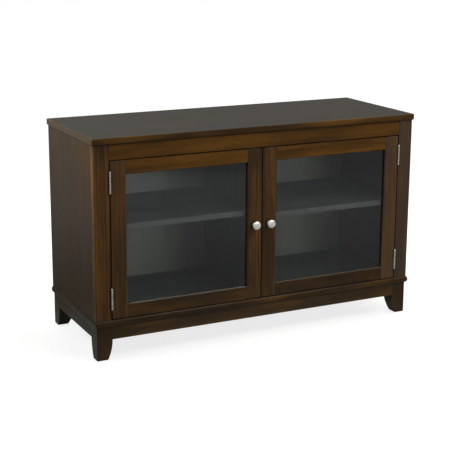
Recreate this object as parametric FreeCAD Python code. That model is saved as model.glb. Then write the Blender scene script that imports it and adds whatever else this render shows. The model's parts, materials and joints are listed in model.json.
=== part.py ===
import FreeCAD, Part
import math
import os

from FreeCAD import Vector

# Media console with two glazed doors, in millimetres: +X to the viewer's right, +Y to the back, +Z up.
# The origin is on the floor, under the middle of the whole object's box.

# Overall sizes
WIDTH = 1270.0
TOP_DEPTH = 467.0
HEIGHT = 773.0

# Top
TOP_T = 22.0
TOP_OVERHANG = 5.0
TOP_EDGE = 2.5

# Case
BOARD = 20.0
POST_W = 56.0
FRIEZE_H = 54.0
REAR_RAIL_H = 60.0
TONGUE_T = 8.0
TONGUE_L = 8.0
BACK_T = 6.0
BACK_SET = 2.0
BACK_REBATE = 10.0
BACK_CLEAR = 0.5
POST_EDGE = 2.0
SMALL_EDGE = 1.0

# Cable holes in the back panels: the lower above the bottom panel, the upper below the rear rail
CABLE_HOLE_R = 30.0
CABLE_HOLE_RISE = 215.0
CABLE_HOLE_DROP = 91.5

# Base
FOOT_CLEAR = 74.0
FOOT_W = 56.0
FOOT_TOE = 39.0
APRON_H = 47.5
APRON_T = 20.0
BASE_INSET = 3.0
MOULD_H = 22.0
MOULD_W = 30.0
MOULD_PROJ = 5.0
MOULD_LAND = 0.5
GLIDE_R = 13.0
GLIDE_T = 3.0
GLIDE_PIN_R = 1.5
GLIDE_PIN_L = 15.0
CLEAT = 20.0

# Joints in wood
TENON_T = 8.0
TENON_L = 20.0
TENON_SHOULDER = 10.0
MORTISE_SPARE = 1.0

# Shelves and their pins
SHELF_T = 20.0
SHELF_SIDE_CLEAR = 1.5
SHELF_FRONT_SET = 2.0
SHELF_BACK_CLEAR = 2.0
SHELF_EDGE = 1.5
PIN_HOLE_R = 2.6
PIN_R = 2.5
PIN_HOLE_WEB = 3.0
PIN_END_CLEAR = 0.5
PIN_PITCH = 19.0
PIN_ROWS = 5
PIN_ROWS_DROP = 19.75
PIN_SET = 50.0
PIN_PADDLE_T = 2.5
PIN_PADDLE_W = 10.0
PIN_PADDLE_L = 11.0
RIGHT_SHELF_ROW = 2
LEFT_SHELF_ROW = 3

# Doors
REVEAL = 3.0
DOOR_T = 20.0
DOOR_BACK_CLEAR = 4.0
STILE_W = 56.0
RAIL_H = 48.0
LIP = 8.0
GLASS_REBATE = 8.0
GLASS_T = 4.0
GLASS_CLEAR = 1.5
SIGHT_BEVEL = 2.0
STOP_BEVEL = 2.5

# Knobs
KNOB_R = 15.0
KNOB_PROJ = 26.0
KNOB_FOOT_R = 7.5
KNOB_FOOT_T = 1.5
KNOB_NECK_R = 4.8
KNOB_ROLL_R = 7.0
KNOB_DOME = 1.5
KNOB_BORE_DEPTH = 13.0
KNOB_SCREW_R = 2.0
KNOB_SCREW_REACH = 11.0
KNOB_SCREW_HEAD_R = 4.5
KNOB_SCREW_HEAD_T = 2.4

# Butt hinges
HINGE_L = 71.0
HINGE_INSET = 72.0
KNUCKLES = 5
KNUCKLE_GAP = 0.3
BARREL_R = 3.3
BARREL_CLEAR = 0.3
HINGE_PIN_R = 1.75
HINGE_PIN_CLEAR = 0.05
HINGE_TIP_T = 2.5
HINGE_TIP_EDGE = 1.2
LEAF_T = 2.0
LEAF_GAP = 0.4
LEAF_BACK_SET = 3.0

# Magnetic catches and their strike plates
CATCH_W = 14.0
CATCH_L = 18.0
CATCH_H = 44.0
CATCH_DROP = 54.0
CATCH_EDGE = 1.5
CATCH_GAP = 0.3
CATCH_SCREW_SPREAD = 30.0
MAGNET_W = 8.0
MAGNET_H = 24.0
MAGNET_DEPTH = 10.0
MAGNET_PROUD = 0.6
STRIKE_T = 1.2
STRIKE_W = 12.0
STRIKE_H = 38.0
STRIKE_SCREW_SPREAD = 28.5

# Screws
SCREW_CLEAR = 0.2
WOOD_SCREW_R = 2.0
WOOD_SCREW_HEAD_R = 4.0
CLEAT_SCREW_BITE = 14.0
CLEAT_SCREWS = 3
HINGE_SCREW_R = 1.5
HINGE_SCREW_HEAD_R = 3.0
HINGE_SCREW_L = 16.0
STRIKE_SCREW_R = 1.2
STRIKE_SCREW_HEAD_R = 2.2
STRIKE_SCREW_L = 11.0
BACK_SCREW_R = 1.75
BACK_SCREW_HEAD_R = 3.5
BACK_SCREW_HEAD_T = 1.8
BACK_SCREW_BITE = 12.0
BACK_RAIL_SCREWS = 3
BACK_EDGE_SCREWS = 2

# Heights worked out from the sizes above
Z_BASE = FOOT_CLEAR + APRON_H
Z_DECK = Z_BASE + MOULD_H
Z_TOP = HEIGHT - TOP_T
Z_FRIEZE = Z_TOP - FRIEZE_H
DOOR_Z0 = Z_DECK + REVEAL
DOOR_Z1 = Z_FRIEZE - REVEAL
SIGHT_Z0 = DOOR_Z0 + RAIL_H
SIGHT_Z1 = DOOR_Z1 - RAIL_H
HINGE_HEIGHTS = (DOOR_Z0 + HINGE_INSET, DOOR_Z1 - HINGE_INSET)
KNOB_Z = (DOOR_Z0 + DOOR_Z1) / 2
CATCH_Z = DOOR_Z1 - CATCH_DROP
CABLE_HOLE_HEIGHTS = (Z_DECK + CABLE_HOLE_RISE, Z_TOP - REAR_RAIL_H - CABLE_HOLE_DROP)
Z_FIRST_PIN = (Z_DECK + Z_TOP) / 2 - PIN_ROWS_DROP - PIN_PITCH * (PIN_ROWS - 1) / 2

# Depths: the knobs stand furthest forward and the top reaches furthest back
DEPTH = TOP_DEPTH - TOP_OVERHANG + KNOB_PROJ
Y_BACK = DEPTH / 2
Y_FACE = KNOB_PROJ - DEPTH / 2
Y_TOP_FRONT = Y_FACE - TOP_OVERHANG
Y_CASE = Y_FACE + DOOR_T + DOOR_BACK_CLEAR
Y_PANEL = Y_BACK - BACK_SET - BACK_T
Y_DOOR_BACK = Y_FACE + DOOR_T
Y_MAGNET = Y_DOOR_BACK + STRIKE_T + CATCH_GAP
Y_SHELF0 = Y_CASE + SHELF_FRONT_SET
Y_SHELF1 = Y_PANEL - SHELF_BACK_CLEAR
Y_BASE0 = Y_FACE + BASE_INSET
Y_BASE1 = Y_BACK - BASE_INSET
PIN_COLUMNS = (Y_SHELF0 + PIN_SET, Y_SHELF1 - PIN_SET)

# Widths, on the right-hand half
X_CASE = WIDTH / 2 - TOP_OVERHANG
X_SIDE = X_CASE - BOARD
X_POST = X_CASE - POST_W
X_DIVIDER = BOARD / 2
X_MOULD = X_CASE + MOULD_PROJ
X_FOOT = X_CASE - BASE_INSET
X_TONGUE = X_SIDE + (BOARD - TONGUE_T) / 2
DOOR_X0 = REVEAL / 2
DOOR_X1 = X_POST - REVEAL
SIGHT_X0 = DOOR_X0 + STILE_W
SIGHT_X1 = DOOR_X1 - STILE_W
KNOB_X = DOOR_X0 + STILE_W / 2
CATCH_X = X_DIVIDER + CATCH_W / 2

# Holes from both faces of the divider never meet, and the pins and catch screws fit in them
PIN_HOLE_DEPTH = (BOARD - PIN_HOLE_WEB) / 2
PIN_L = PIN_HOLE_DEPTH - PIN_END_CLEAR
CATCH_SCREW_BITE = PIN_HOLE_DEPTH - MORTISE_SPARE

# Hinge axis of the right-hand door, and how far each leaf is let into the wood
HINGE_X = X_POST - REVEAL / 2
HINGE_Y = Y_FACE - BARREL_R - BARREL_CLEAR
LET_IN = LEAF_GAP / 2 + LEAF_T - REVEAL / 2
LEAF_REACH = DOOR_T - LEAF_BACK_SET
LEAF_SCREW_Y = Y_FACE + LEAF_REACH / 2
LEAF_SCREW_SPREAD = HINGE_L / 3

X_AXIS = Vector(1, 0, 0)
Y_AXIS = Vector(0, 1, 0)
Z_AXIS = Vector(0, 0, 1)
PLACE_TOLERANCE = 1e-4
CUT_SPARE = 10.0


def box(x, y, z):
    """Block between two planes on each axis."""
    return Part.makeBox(x[1] - x[0], y[1] - y[0], z[1] - z[0], Vector(x[0], y[0], z[0]))


def span(a, b):
    """Two places in rising order."""
    return (min(a, b), max(a, b))


def about(middle, length):
    """Both ends of a length about its middle."""
    return (middle - length / 2, middle + length / 2)


def spaced(start, end, count):
    """Places spread evenly over a length, half a step in from each end."""
    return [start + (end - start) * (index + 0.5) / count for index in range(count)]


def prism(points, direction):
    """Straight prism on a closed polygon."""
    outline = Part.makePolygon(list(points) + [points[0]])
    return Part.Face(outline).extrude(direction)


def outline_face(edges):
    """Face inside a closed run of line and arc edges."""
    return Part.Face(Part.Wire(edges))


def edges_at(shape, **planes):
    """Edges whose ends lie on every named plane, such as x=10."""
    def lies_there(edge):
        return all(
            abs(getattr(vertex.Point, axis) - place) < PLACE_TOLERANCE
            for vertex in edge.Vertexes
            for axis, place in planes.items()
        )
    return [edge for edge in shape.Edges if lies_there(edge)]


def mirrored(shape):
    """The same piece on the other side of the console's middle."""
    return shape.mirror(Vector(0, 0, 0), X_AXIS)


def write(name, *solids):
    """One file per node: a single solid, or a group of like solids."""
    pieces = [piece for shape in solids for piece in shape.Solids]
    whole = pieces[0] if len(pieces) == 1 else Part.makeCompound(pieces)
    whole.exportStep(os.path.join("parts", name + ".step"))


def cut_all(shape, cutters):
    """Shape with every cutter taken out of it."""
    return shape.cut(Part.makeCompound(cutters)) if cutters else shape


def screw(head, direction, radius, head_radius, length):
    """Countersunk screw whose flat head lies at the given point."""
    cone_depth = head_radius - radius
    cone = Part.makeCone(head_radius, radius, cone_depth, head, direction)
    shank = Part.makeCylinder(radius, length - cone_depth, head + direction * cone_depth, direction)
    return cone.fuse(shank).removeSplitter()


def screw_hole(head, direction, radius, head_radius, length):
    """Hole that the countersunk screw of the same sizes passes into."""
    return screw(head, direction, radius + SCREW_CLEAR, head_radius + SCREW_CLEAR, length + MORTISE_SPARE)


def raised_head_screw(seat, direction, radius, head_radius, head_height, length):
    """Screw with a tapered head that sits on a surface at the given point."""
    head = Part.makeCone(head_radius, head_radius - head_height, head_height, seat, direction * -1)
    shank = Part.makeCylinder(radius, length, seat, direction)
    return head.fuse(shank).removeSplitter()


def top_panel():
    ends = about(0, WIDTH)
    top = box(ends, (Y_TOP_FRONT, Y_BACK), (Z_TOP, HEIGHT))
    corners = [edge for x in ends for edge in edges_at(top, x=x, y=Y_TOP_FRONT)]
    rims = [edge for z in (Z_TOP, HEIGHT) for edge in edges_at(top, z=z, y=Y_TOP_FRONT)]
    sides = [edge for x in ends for z in (Z_TOP, HEIGHT) for edge in edges_at(top, x=x, z=z)]
    eased = top.makeFillet(TOP_EDGE, corners + rims + sides)
    return cut_all(eased, [hole for _, hole in top_cleat_screws()])


def front_post():
    """Right front post: grooved for the side, mortised for the frieze and let in for two hinges."""
    post = box((X_POST, X_CASE), (Y_FACE, Y_CASE), (Z_DECK, Z_TOP))
    post = post.makeFillet(POST_EDGE, edges_at(post, x=X_CASE, y=Y_FACE))
    post = post.makeFillet(SMALL_EDGE, edges_at(post, x=X_POST, y=Y_FACE))
    groove_y = (Y_CASE - TONGUE_L - MORTISE_SPARE, Y_CASE)
    groove = box((X_TONGUE, X_TONGUE + TONGUE_T), groove_y, (Z_DECK, Z_TOP))
    mortise = frieze_tenon(TENON_L + MORTISE_SPARE)
    seats = [leaf_seat(X_POST, X_POST + LET_IN, z) for z in HINGE_HEIGHTS]
    holes = [hole for _, hole in hinge_screws(1)]
    return cut_all(post, [groove, mortise] + seats + holes)


def frieze_tenon(length):
    """Right-hand tenon of the frieze rail, or its mortise when longer."""
    y = about((Y_FACE + Y_CASE) / 2, TENON_T)
    return box((X_POST, X_POST + length), y, (Z_FRIEZE + TENON_SHOULDER, Z_TOP - TENON_SHOULDER))


def frieze_rail():
    rail = box((-X_POST, X_POST), (Y_FACE, Y_CASE), (Z_FRIEZE, Z_TOP))
    rail = rail.makeFillet(SMALL_EDGE, edges_at(rail, y=Y_FACE, z=Z_FRIEZE))
    tenon = frieze_tenon(TENON_L)
    return rail.fuse([tenon, mirrored(tenon)])


def side_panel():
    """Right side: a tongue into the post, a rebate for the back and rows of shelf pin holes."""
    panel = box((X_SIDE, X_CASE), (Y_CASE, Y_BACK), (Z_DECK, Z_TOP))
    panel = panel.makeFillet(SMALL_EDGE, edges_at(panel, x=X_CASE, y=Y_BACK))
    tongue = box((X_TONGUE, X_TONGUE + TONGUE_T), (Y_CASE - TONGUE_L, Y_CASE), (Z_DECK, Z_TOP))
    rebate = box((X_SIDE, X_SIDE + BACK_REBATE), (Y_PANEL, Y_BACK), (Z_DECK, Z_TOP))
    holes = pin_holes(X_SIDE, X_AXIS) + [hole for _, hole in back_screws() if hole.BoundBox.XMax > X_SIDE]
    return cut_all(panel.fuse(tongue), [rebate] + holes)


def pin_holes(face_x, direction):
    """Blind holes for shelf pins in a face: a row for each height, front and back."""
    places = [Vector(face_x, y, Z_FIRST_PIN + row * PIN_PITCH)
              for y in PIN_COLUMNS for row in range(PIN_ROWS)]
    return [Part.makeCylinder(PIN_HOLE_R, PIN_HOLE_DEPTH, place, direction) for place in places]


def center_divider():
    divider = box((-X_DIVIDER, X_DIVIDER), (Y_CASE, Y_PANEL), (Z_DECK, Z_TOP))
    rail_notch = box((-X_DIVIDER, X_DIVIDER), (Y_PANEL - BOARD, Y_PANEL), (Z_TOP - REAR_RAIL_H, Z_TOP))
    right_holes = pin_holes(X_DIVIDER, X_AXIS * -1) + [hole for _, hole in catch_screws()]
    back_holes = [hole for _, hole in back_screws() if hole.BoundBox.XMax < X_DIVIDER]
    cutters = [rail_notch] + right_holes + back_holes
    cutters += [mirrored(hole) for hole in right_holes + back_holes]
    return cut_all(divider, cutters)


def rear_top_rail():
    rail = box((-X_SIDE, X_SIDE), (Y_PANEL - BOARD, Y_PANEL), (Z_TOP - REAR_RAIL_H, Z_TOP))
    holes = [hole for _, hole in back_screws()]
    return cut_all(rail, holes + [mirrored(hole) for hole in holes])


def bottom_panel():
    x_edge = X_MOULD - MOULD_W
    panel = box((-x_edge, x_edge), (Y_FACE - MOULD_PROJ + MOULD_W, Y_PANEL), (Z_BASE, Z_DECK))
    holes = [hole for _, hole in base_cleat_screws()]
    right_holes = [hole for _, hole in back_screws()]
    return cut_all(panel, holes + right_holes + [mirrored(hole) for hole in right_holes])


def back_panel():
    """Right back panel, from the middle of the divider to the side's rebate, with two cable holes."""
    x0 = BACK_CLEAR
    x1 = X_SIDE + BACK_REBATE - BACK_CLEAR
    panel = box((x0, x1), (Y_PANEL, Y_PANEL + BACK_T), (Z_BASE + BACK_CLEAR, Z_TOP - BACK_CLEAR))
    middle = (X_DIVIDER + X_SIDE) / 2
    cable_holes = [
        Part.makeCylinder(CABLE_HOLE_R, BACK_T, Vector(middle, Y_PANEL, z), Y_AXIS)
        for z in CABLE_HOLE_HEIGHTS
    ]
    return cut_all(panel, cable_holes + [hole for _, hole in back_screws()])


def back_screws():
    """Screws round the right back panel, each with its hole."""
    low = (Z_BASE + Z_DECK) / 2
    high = Z_TOP - REAR_RAIL_H / 2
    outer = X_SIDE + BACK_REBATE / 2
    inner = X_DIVIDER / 2
    places = [(x, z) for x in spaced(X_DIVIDER, X_SIDE, BACK_RAIL_SCREWS) for z in (low, high)]
    places += [(x, z) for x in (inner, outer) for z in spaced(low, high, BACK_EDGE_SCREWS)]
    seat_y = Y_PANEL + BACK_T
    length = BACK_T + BACK_SCREW_BITE
    sizes = (BACK_SCREW_R, BACK_SCREW_HEAD_R, BACK_SCREW_HEAD_T)
    screws = []
    for x, z in places:
        seat = Vector(x, seat_y, z)
        body = raised_head_screw(seat, Y_AXIS * -1, *sizes, length)
        hole = Part.makeCylinder(BACK_SCREW_R + SCREW_CLEAR, length + MORTISE_SPARE, seat, Y_AXIS * -1)
        screws.append((body, hole))
    return screws


def shelf_bottom(row):
    """Underside of a shelf whose pins are in the given row of holes."""
    return Z_FIRST_PIN + row * PIN_PITCH + PIN_R


def shelf(row):
    """Right-hand shelf on the pins of the given row."""
    z0 = shelf_bottom(row)
    x = (X_DIVIDER + SHELF_SIDE_CLEAR, X_SIDE - SHELF_SIDE_CLEAR)
    board = box(x, (Y_SHELF0, Y_SHELF1), (z0, z0 + SHELF_T))
    rims = edges_at(board, y=Y_SHELF0, z=z0) + edges_at(board, y=Y_SHELF0, z=z0 + SHELF_T)
    return board.makeFillet(SHELF_EDGE, rims)


def shelf_pins(row):
    """Four spoon pins under the right-hand shelf, each a round stem in the wall and a flat paddle."""
    z = shelf_bottom(row)
    pins = []
    for y in PIN_COLUMNS:
        for wall, inward in ((X_SIDE, -1), (X_DIVIDER, 1)):
            start = Vector(wall - inward * PIN_L, y, z - PIN_R)
            stem = Part.makeCylinder(PIN_R, PIN_L + PIN_PADDLE_L, start, X_AXIS * inward)
            reach = span(wall, wall + inward * PIN_PADDLE_L)
            paddle = box(reach, about(y, PIN_PADDLE_W), (z - PIN_PADDLE_T, z))
            pins.append(stem.fuse(paddle).removeSplitter())
    return pins


def moulding_section(inner, outer):
    """Bullnose section in the plane of depth and height, from its inner face to its nose."""
    middle = (Z_BASE + Z_DECK) / 2
    toward = math.copysign(1.0, outer - inner)
    land = outer - toward * (MOULD_PROJ - MOULD_LAND)
    a, b = Vector(0, inner, Z_BASE), Vector(0, inner, Z_DECK)
    c, d = Vector(0, land, Z_DECK), Vector(0, land, Z_BASE)
    nose = Part.Arc(c, Vector(0, outer, middle), d).toShape()
    return outline_face([Part.makeLine(a, b), Part.makeLine(b, c), nose, Part.makeLine(d, a)])


def mitre_corner(keep_side):
    """Prism over one half of the front right corner, cut away where the other strip lies."""
    x, y = X_MOULD, Y_FACE - MOULD_PROJ
    far = MOULD_W + CUT_SPARE
    third = Vector(x, y + far, Z_BASE) if keep_side == "front" else Vector(x - far, y, Z_BASE)
    return prism([Vector(x, y, Z_BASE), third, Vector(x - far, y + far, Z_BASE)], Z_AXIS * MOULD_H)


def front_moulding():
    nose = Y_FACE - MOULD_PROJ
    section = moulding_section(nose + MOULD_W, nose)
    section.translate(X_AXIS * -X_MOULD)
    strip = section.extrude(X_AXIS * 2 * X_MOULD)
    corner = mitre_corner("front")
    return strip.cut([corner, mirrored(corner)])


def side_moulding():
    """Right moulding strip, mitred at the front and rebated for the back panel."""
    section = moulding_section(X_MOULD - MOULD_W, X_MOULD)
    section.rotate(Vector(0, 0, 0), Z_AXIS, -90)
    section.translate(Y_AXIS * (Y_FACE - MOULD_PROJ))
    strip = section.extrude(Y_AXIS * (Y_BACK - Y_FACE + MOULD_PROJ))
    rebate = box((X_MOULD - MOULD_W, X_SIDE + BACK_REBATE), (Y_PANEL, Y_BACK), (Z_BASE, Z_DECK))
    return strip.cut([mitre_corner("side"), rebate])


def foot_face(outer, along):
    """Foot outline against one direction: straight outside, and curved in to the toe inside."""
    drop = FOOT_CLEAR - GLIDE_T
    draw_in = FOOT_W - FOOT_TOE
    radius = (drop ** 2 + draw_in ** 2) / (2 * draw_in)
    half_turn = math.asin(drop / radius) / 2
    inner = outer - FOOT_W

    def point(place, height):
        return along * place + Z_AXIS * height

    heel = point(outer, GLIDE_T)
    top_out = point(outer, Z_BASE)
    top_in = point(inner, Z_BASE)
    knee = point(inner, FOOT_CLEAR)
    bow = point(inner + radius * (1 - math.cos(half_turn)), FOOT_CLEAR - radius * math.sin(half_turn))
    toe = point(outer - FOOT_TOE, GLIDE_T)
    sides = [Part.makeLine(heel, top_out), Part.makeLine(top_out, top_in), Part.makeLine(top_in, knee)]
    return outline_face(sides + [Part.Arc(knee, bow, toe).toShape(), Part.makeLine(toe, heel)])


def rear_right_foot():
    """Foot block curved on its two inner faces, with mortises for the aprons and a hole for the glide."""
    across = foot_face(X_FOOT, X_AXIS)
    across.translate(Y_AXIS * (Y_BASE1 - FOOT_W))
    along = foot_face(Y_BASE1, Y_AXIS)
    along.translate(X_AXIS * (X_FOOT - FOOT_W))
    foot = across.extrude(Y_AXIS * FOOT_W).common(along.extrude(X_AXIS * FOOT_W))
    foot = foot.makeFillet(POST_EDGE, edges_at(foot, x=X_FOOT, y=Y_BASE1))
    spare = TENON_L + MORTISE_SPARE
    glide_depth = GLIDE_PIN_L + MORTISE_SPARE
    glide_hole = Part.makeCylinder(GLIDE_PIN_R + SCREW_CLEAR, glide_depth, glide_centre(), Z_AXIS)
    return foot.cut([rear_apron_tenon(spare), side_apron_tenon(spare), glide_hole])


def glide_centre():
    """Middle of the rear right foot's toe."""
    return Vector(X_FOOT - FOOT_TOE / 2, Y_BASE1 - FOOT_TOE / 2, GLIDE_T)


def rear_right_glide():
    middle = glide_centre()
    pad = Part.makeCylinder(GLIDE_R, GLIDE_T, Vector(middle.x, middle.y, 0), Z_AXIS)
    pad = pad.makeChamfer(SMALL_EDGE, edges_at(pad, z=0))
    return pad.fuse(Part.makeCylinder(GLIDE_PIN_R, GLIDE_PIN_L, middle, Z_AXIS))


def four_corners(piece):
    """The rear right piece at each corner of the base: front left, front right, rear left, rear right."""
    front = piece.mirror(Vector(0, (Y_BASE0 + Y_BASE1) / 2, 0), Y_AXIS)
    return [mirrored(front), front, mirrored(piece), piece]


def tenon_heights():
    return (FOOT_CLEAR + TENON_SHOULDER, Z_BASE - TENON_SHOULDER)


def rear_apron_tenon(length):
    """Right-hand tenon of the rear apron, or its mortise when longer."""
    x0 = X_FOOT - FOOT_W
    return box((x0, x0 + length), about(Y_BASE1 - APRON_T / 2, TENON_T), tenon_heights())


def side_apron_tenon(length):
    """Rear tenon of the right apron, or its mortise when longer."""
    y0 = Y_BASE1 - FOOT_W
    return box(about(X_FOOT - APRON_T / 2, TENON_T), (y0, y0 + length), tenon_heights())


def long_aprons():
    """Front and rear aprons, each tenoned into a foot at both ends."""
    half = X_FOOT - FOOT_W
    rear = box((-half, half), (Y_BASE1 - APRON_T, Y_BASE1), (FOOT_CLEAR, Z_BASE))
    rear = rear.makeFillet(SMALL_EDGE, edges_at(rear, y=Y_BASE1, z=FOOT_CLEAR))
    tenon = rear_apron_tenon(TENON_L)
    rear = rear.fuse([tenon, mirrored(tenon)])
    return rear.mirror(Vector(0, (Y_BASE0 + Y_BASE1) / 2, 0), Y_AXIS), rear


def side_apron():
    """Right apron, tenoned into the front and rear feet."""
    middle = Vector(0, (Y_BASE0 + Y_BASE1) / 2, 0)
    apron = box((X_FOOT - APRON_T, X_FOOT), (Y_BASE0 + FOOT_W, Y_BASE1 - FOOT_W), (FOOT_CLEAR, Z_BASE))
    apron = apron.makeFillet(SMALL_EDGE, edges_at(apron, x=X_FOOT, z=FOOT_CLEAR))
    tenon = side_apron_tenon(TENON_L)
    return apron.fuse([tenon, tenon.mirror(middle, Y_AXIS)])


def base_cleat_lines():
    """Middle line of each cleat inside the base: its two ends in plan."""
    half = X_FOOT - FOOT_W
    inset = APRON_T + CLEAT / 2
    y0, y1 = Y_BASE0 + inset, Y_BASE1 - inset
    x = X_FOOT - inset
    side_y = (Y_BASE0 + FOOT_W, Y_BASE1 - FOOT_W)
    return [
        ((-half, y0), (half, y0)),
        ((-half, y1), (half, y1)),
        ((-x, side_y[0]), (-x, side_y[1])),
        ((x, side_y[0]), (x, side_y[1])),
    ]


def top_cleat_lines():
    """Middle line of each cleat under the top, along the sides."""
    x = X_SIDE - CLEAT / 2
    return [((side * x, Y_CASE), (side * x, Y_PANEL - BOARD)) for side in (-1, 1)]


def cleats_on(lines, top_z):
    """Square strips along the given lines, with their screw holes, under the given height."""
    strips = []
    for start, end in lines:
        wide = [about(start[i], CLEAT) if start[i] == end[i] else (start[i], end[i]) for i in (0, 1)]
        strip = box(wide[0], wide[1], (top_z - CLEAT, top_z))
        strips.append(cut_all(strip, [hole for _, hole in cleat_screws([(start, end)], top_z)]))
    return strips


def cleat_screws(lines, top_z):
    """Screws up through each cleat, each with its hole."""
    sizes = (WOOD_SCREW_R, WOOD_SCREW_HEAD_R, CLEAT + CLEAT_SCREW_BITE)
    screws = []
    for start, end in lines:
        for x, y in zip(*(spaced(start[i], end[i], CLEAT_SCREWS) for i in (0, 1))):
            head = Vector(x, y, top_z - CLEAT)
            screws.append((screw(head, Z_AXIS, *sizes), screw_hole(head, Z_AXIS, *sizes)))
    return screws


def base_cleat_screws():
    return cleat_screws(base_cleat_lines(), Z_BASE)


def top_cleat_screws():
    return cleat_screws(top_cleat_lines(), Z_TOP)


def leaf_seat(x0, x1, middle_z):
    """Shallow seat in the wood for one hinge leaf."""
    return box((x0, x1), (Y_FACE, Y_FACE + LEAF_REACH), about(middle_z, HINGE_L))


def hinge_leaf(side, middle_z):
    """Leaf on the post (side 1) or the door (side -1), wrapped into every second knuckle round the axis."""
    first = middle_z - HINGE_L / 2
    pitch = HINGE_L / KNUCKLES
    inner = HINGE_X + side * LEAF_GAP / 2
    plate_y = (HINGE_Y, Y_FACE + LEAF_REACH)
    plate = box(span(inner, inner + side * LEAF_T), plate_y, about(middle_z, HINGE_L))
    knuckles, gaps = [], []
    for index in range(KNUCKLES):
        low, high = first + index * pitch, first + (index + 1) * pitch
        own = (index % 2 == 0) == (side == 1)
        if own:
            low += KNUCKLE_GAP / 2 if index > 0 else 0
            high -= KNUCKLE_GAP / 2 if index < KNUCKLES - 1 else 0
            knuckles.append(Part.makeCylinder(BARREL_R, high - low, Vector(HINGE_X, HINGE_Y, low), Z_AXIS))
        else:
            reach = 2 * (BARREL_R + BARREL_CLEAR)
            gap_z = (low - KNUCKLE_GAP / 2, high + KNUCKLE_GAP / 2)
            gaps.append(box(about(HINGE_X, reach), about(HINGE_Y, reach), gap_z))
    bore_r = HINGE_PIN_R + HINGE_PIN_CLEAR
    bore = Part.makeCylinder(bore_r, HINGE_L, Vector(HINGE_X, HINGE_Y, first), Z_AXIS)
    screws = [hole for _, hole in hinge_screws(side)]
    return plate.cut(gaps).fuse(knuckles).removeSplitter().cut([bore] + screws)


def hinge_screws(side):
    """Three screws through each right-hand leaf on one side of the axis, each with its hole."""
    sizes = (HINGE_SCREW_R, HINGE_SCREW_HEAD_R, HINGE_SCREW_L)
    screws = []
    for middle_z in HINGE_HEIGHTS:
        for step in (-1, 0, 1):
            head = Vector(HINGE_X + side * LEAF_GAP / 2, LEAF_SCREW_Y, middle_z + step * LEAF_SCREW_SPREAD)
            direction = X_AXIS * side
            screws.append((screw(head, direction, *sizes), screw_hole(head, direction, *sizes)))
    return screws


def hinge_pin(middle_z):
    """Hinge pin with a bevelled button at each end of the barrel."""
    first, last = about(middle_z, HINGE_L)
    pin = Part.makeCylinder(HINGE_PIN_R, HINGE_L, Vector(HINGE_X, HINGE_Y, first), Z_AXIS)
    tip_z = first - HINGE_TIP_T
    low_tip = Part.makeCylinder(BARREL_R, HINGE_TIP_T, Vector(HINGE_X, HINGE_Y, tip_z), Z_AXIS)
    low_tip = low_tip.makeChamfer(HINGE_TIP_EDGE, edges_at(low_tip, z=tip_z))
    high_tip = low_tip.mirror(Vector(0, 0, (first + last) / 2), Z_AXIS)
    return pin.fuse([low_tip, high_tip])


def door_members():
    """Right door frame of two stiles and two tenoned rails, rebated behind and bevelled round the glass."""
    stile_z = (DOOR_Z0, DOOR_Z1)
    depth = (Y_FACE, Y_DOOR_BACK)
    hinge_stile = box((SIGHT_X1, DOOR_X1), depth, stile_z)
    meeting_stile = box((DOOR_X0, SIGHT_X0), depth, stile_z)
    top_rail = box((SIGHT_X0, SIGHT_X1), depth, (SIGHT_Z1, DOOR_Z1))
    bottom_rail = box((SIGHT_X0, SIGHT_X1), depth, (DOOR_Z0, SIGHT_Z0))

    ends = [dict(y=Y_FACE, z=DOOR_Z0), dict(y=Y_FACE, z=DOOR_Z1)]
    hinge_stile = ease_edges(hinge_stile, ends + [dict(y=Y_FACE, x=DOOR_X1)])
    meeting_stile = ease_edges(meeting_stile, ends + [dict(y=Y_FACE, x=DOOR_X0)])
    top_rail = ease_edges(top_rail, ends[1:])
    bottom_rail = ease_edges(bottom_rail, ends[:1])

    top_rail = top_rail.fuse(rail_tenons(DOOR_Z1, -1, TENON_L))
    bottom_rail = bottom_rail.fuse(rail_tenons(DOOR_Z0, 1, TENON_L))
    glazing = [sight_bevel(), sight_box(GLASS_REBATE, (Y_FACE + LIP, Y_DOOR_BACK))]
    spare = TENON_L + MORTISE_SPARE
    mortises = rail_tenons(DOOR_Z1, -1, spare) + rail_tenons(DOOR_Z0, 1, spare)
    hinge_cuts = [leaf_seat(DOOR_X1 - LET_IN, DOOR_X1, z) for z in HINGE_HEIGHTS]
    hinge_cuts += [hole for _, hole in hinge_screws(-1)]
    knob_place = Vector(KNOB_X, Y_FACE, KNOB_Z)
    knob_hole = Part.makeCylinder(KNOB_SCREW_R + SCREW_CLEAR, DOOR_T, knob_place, Y_AXIS)
    strike_holes = [hole for _, hole in strike_screws()]
    return {
        "hinge_stile": cut_all(hinge_stile, glazing + mortises + hinge_cuts),
        "meeting_stile": cut_all(meeting_stile, glazing + mortises + strike_holes + [knob_hole]),
        "top_rail": cut_all(top_rail, glazing),
        "bottom_rail": cut_all(bottom_rail, glazing),
    }


def ease_edges(piece, places):
    """Piece with the edges at the given places rounded a little."""
    return piece.makeFillet(SMALL_EDGE, [edge for place in places for edge in edges_at(piece, **place)])


def rail_tenons(outer_z, inward, length):
    """Both tenons of a rail whose outer edge is at the given height, or their mortises when longer."""
    rebated = RAIL_H - GLASS_REBATE - TENON_SHOULDER / 2
    z = span(outer_z + inward * TENON_SHOULDER, outer_z + inward * rebated)
    y = about((Y_FACE + Y_DOOR_BACK) / 2, TENON_T)
    return [box((SIGHT_X0 - length, SIGHT_X0), y, z), box((SIGHT_X1, SIGHT_X1 + length), y, z)]


def sight_box(grow, y):
    """Block through the glazed opening, grown on all four sides."""
    return box((SIGHT_X0 - grow, SIGHT_X1 + grow), y, (SIGHT_Z0 - grow, SIGHT_Z1 + grow))


def sight_corners(grow):
    """Corners of the glazed opening in order, grown on all four sides."""
    x0, x1 = SIGHT_X0 - grow, SIGHT_X1 + grow
    z0, z1 = SIGHT_Z0 - grow, SIGHT_Z1 + grow
    return [(x0, z0), (x1, z0), (x1, z1), (x0, z1)]


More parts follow.
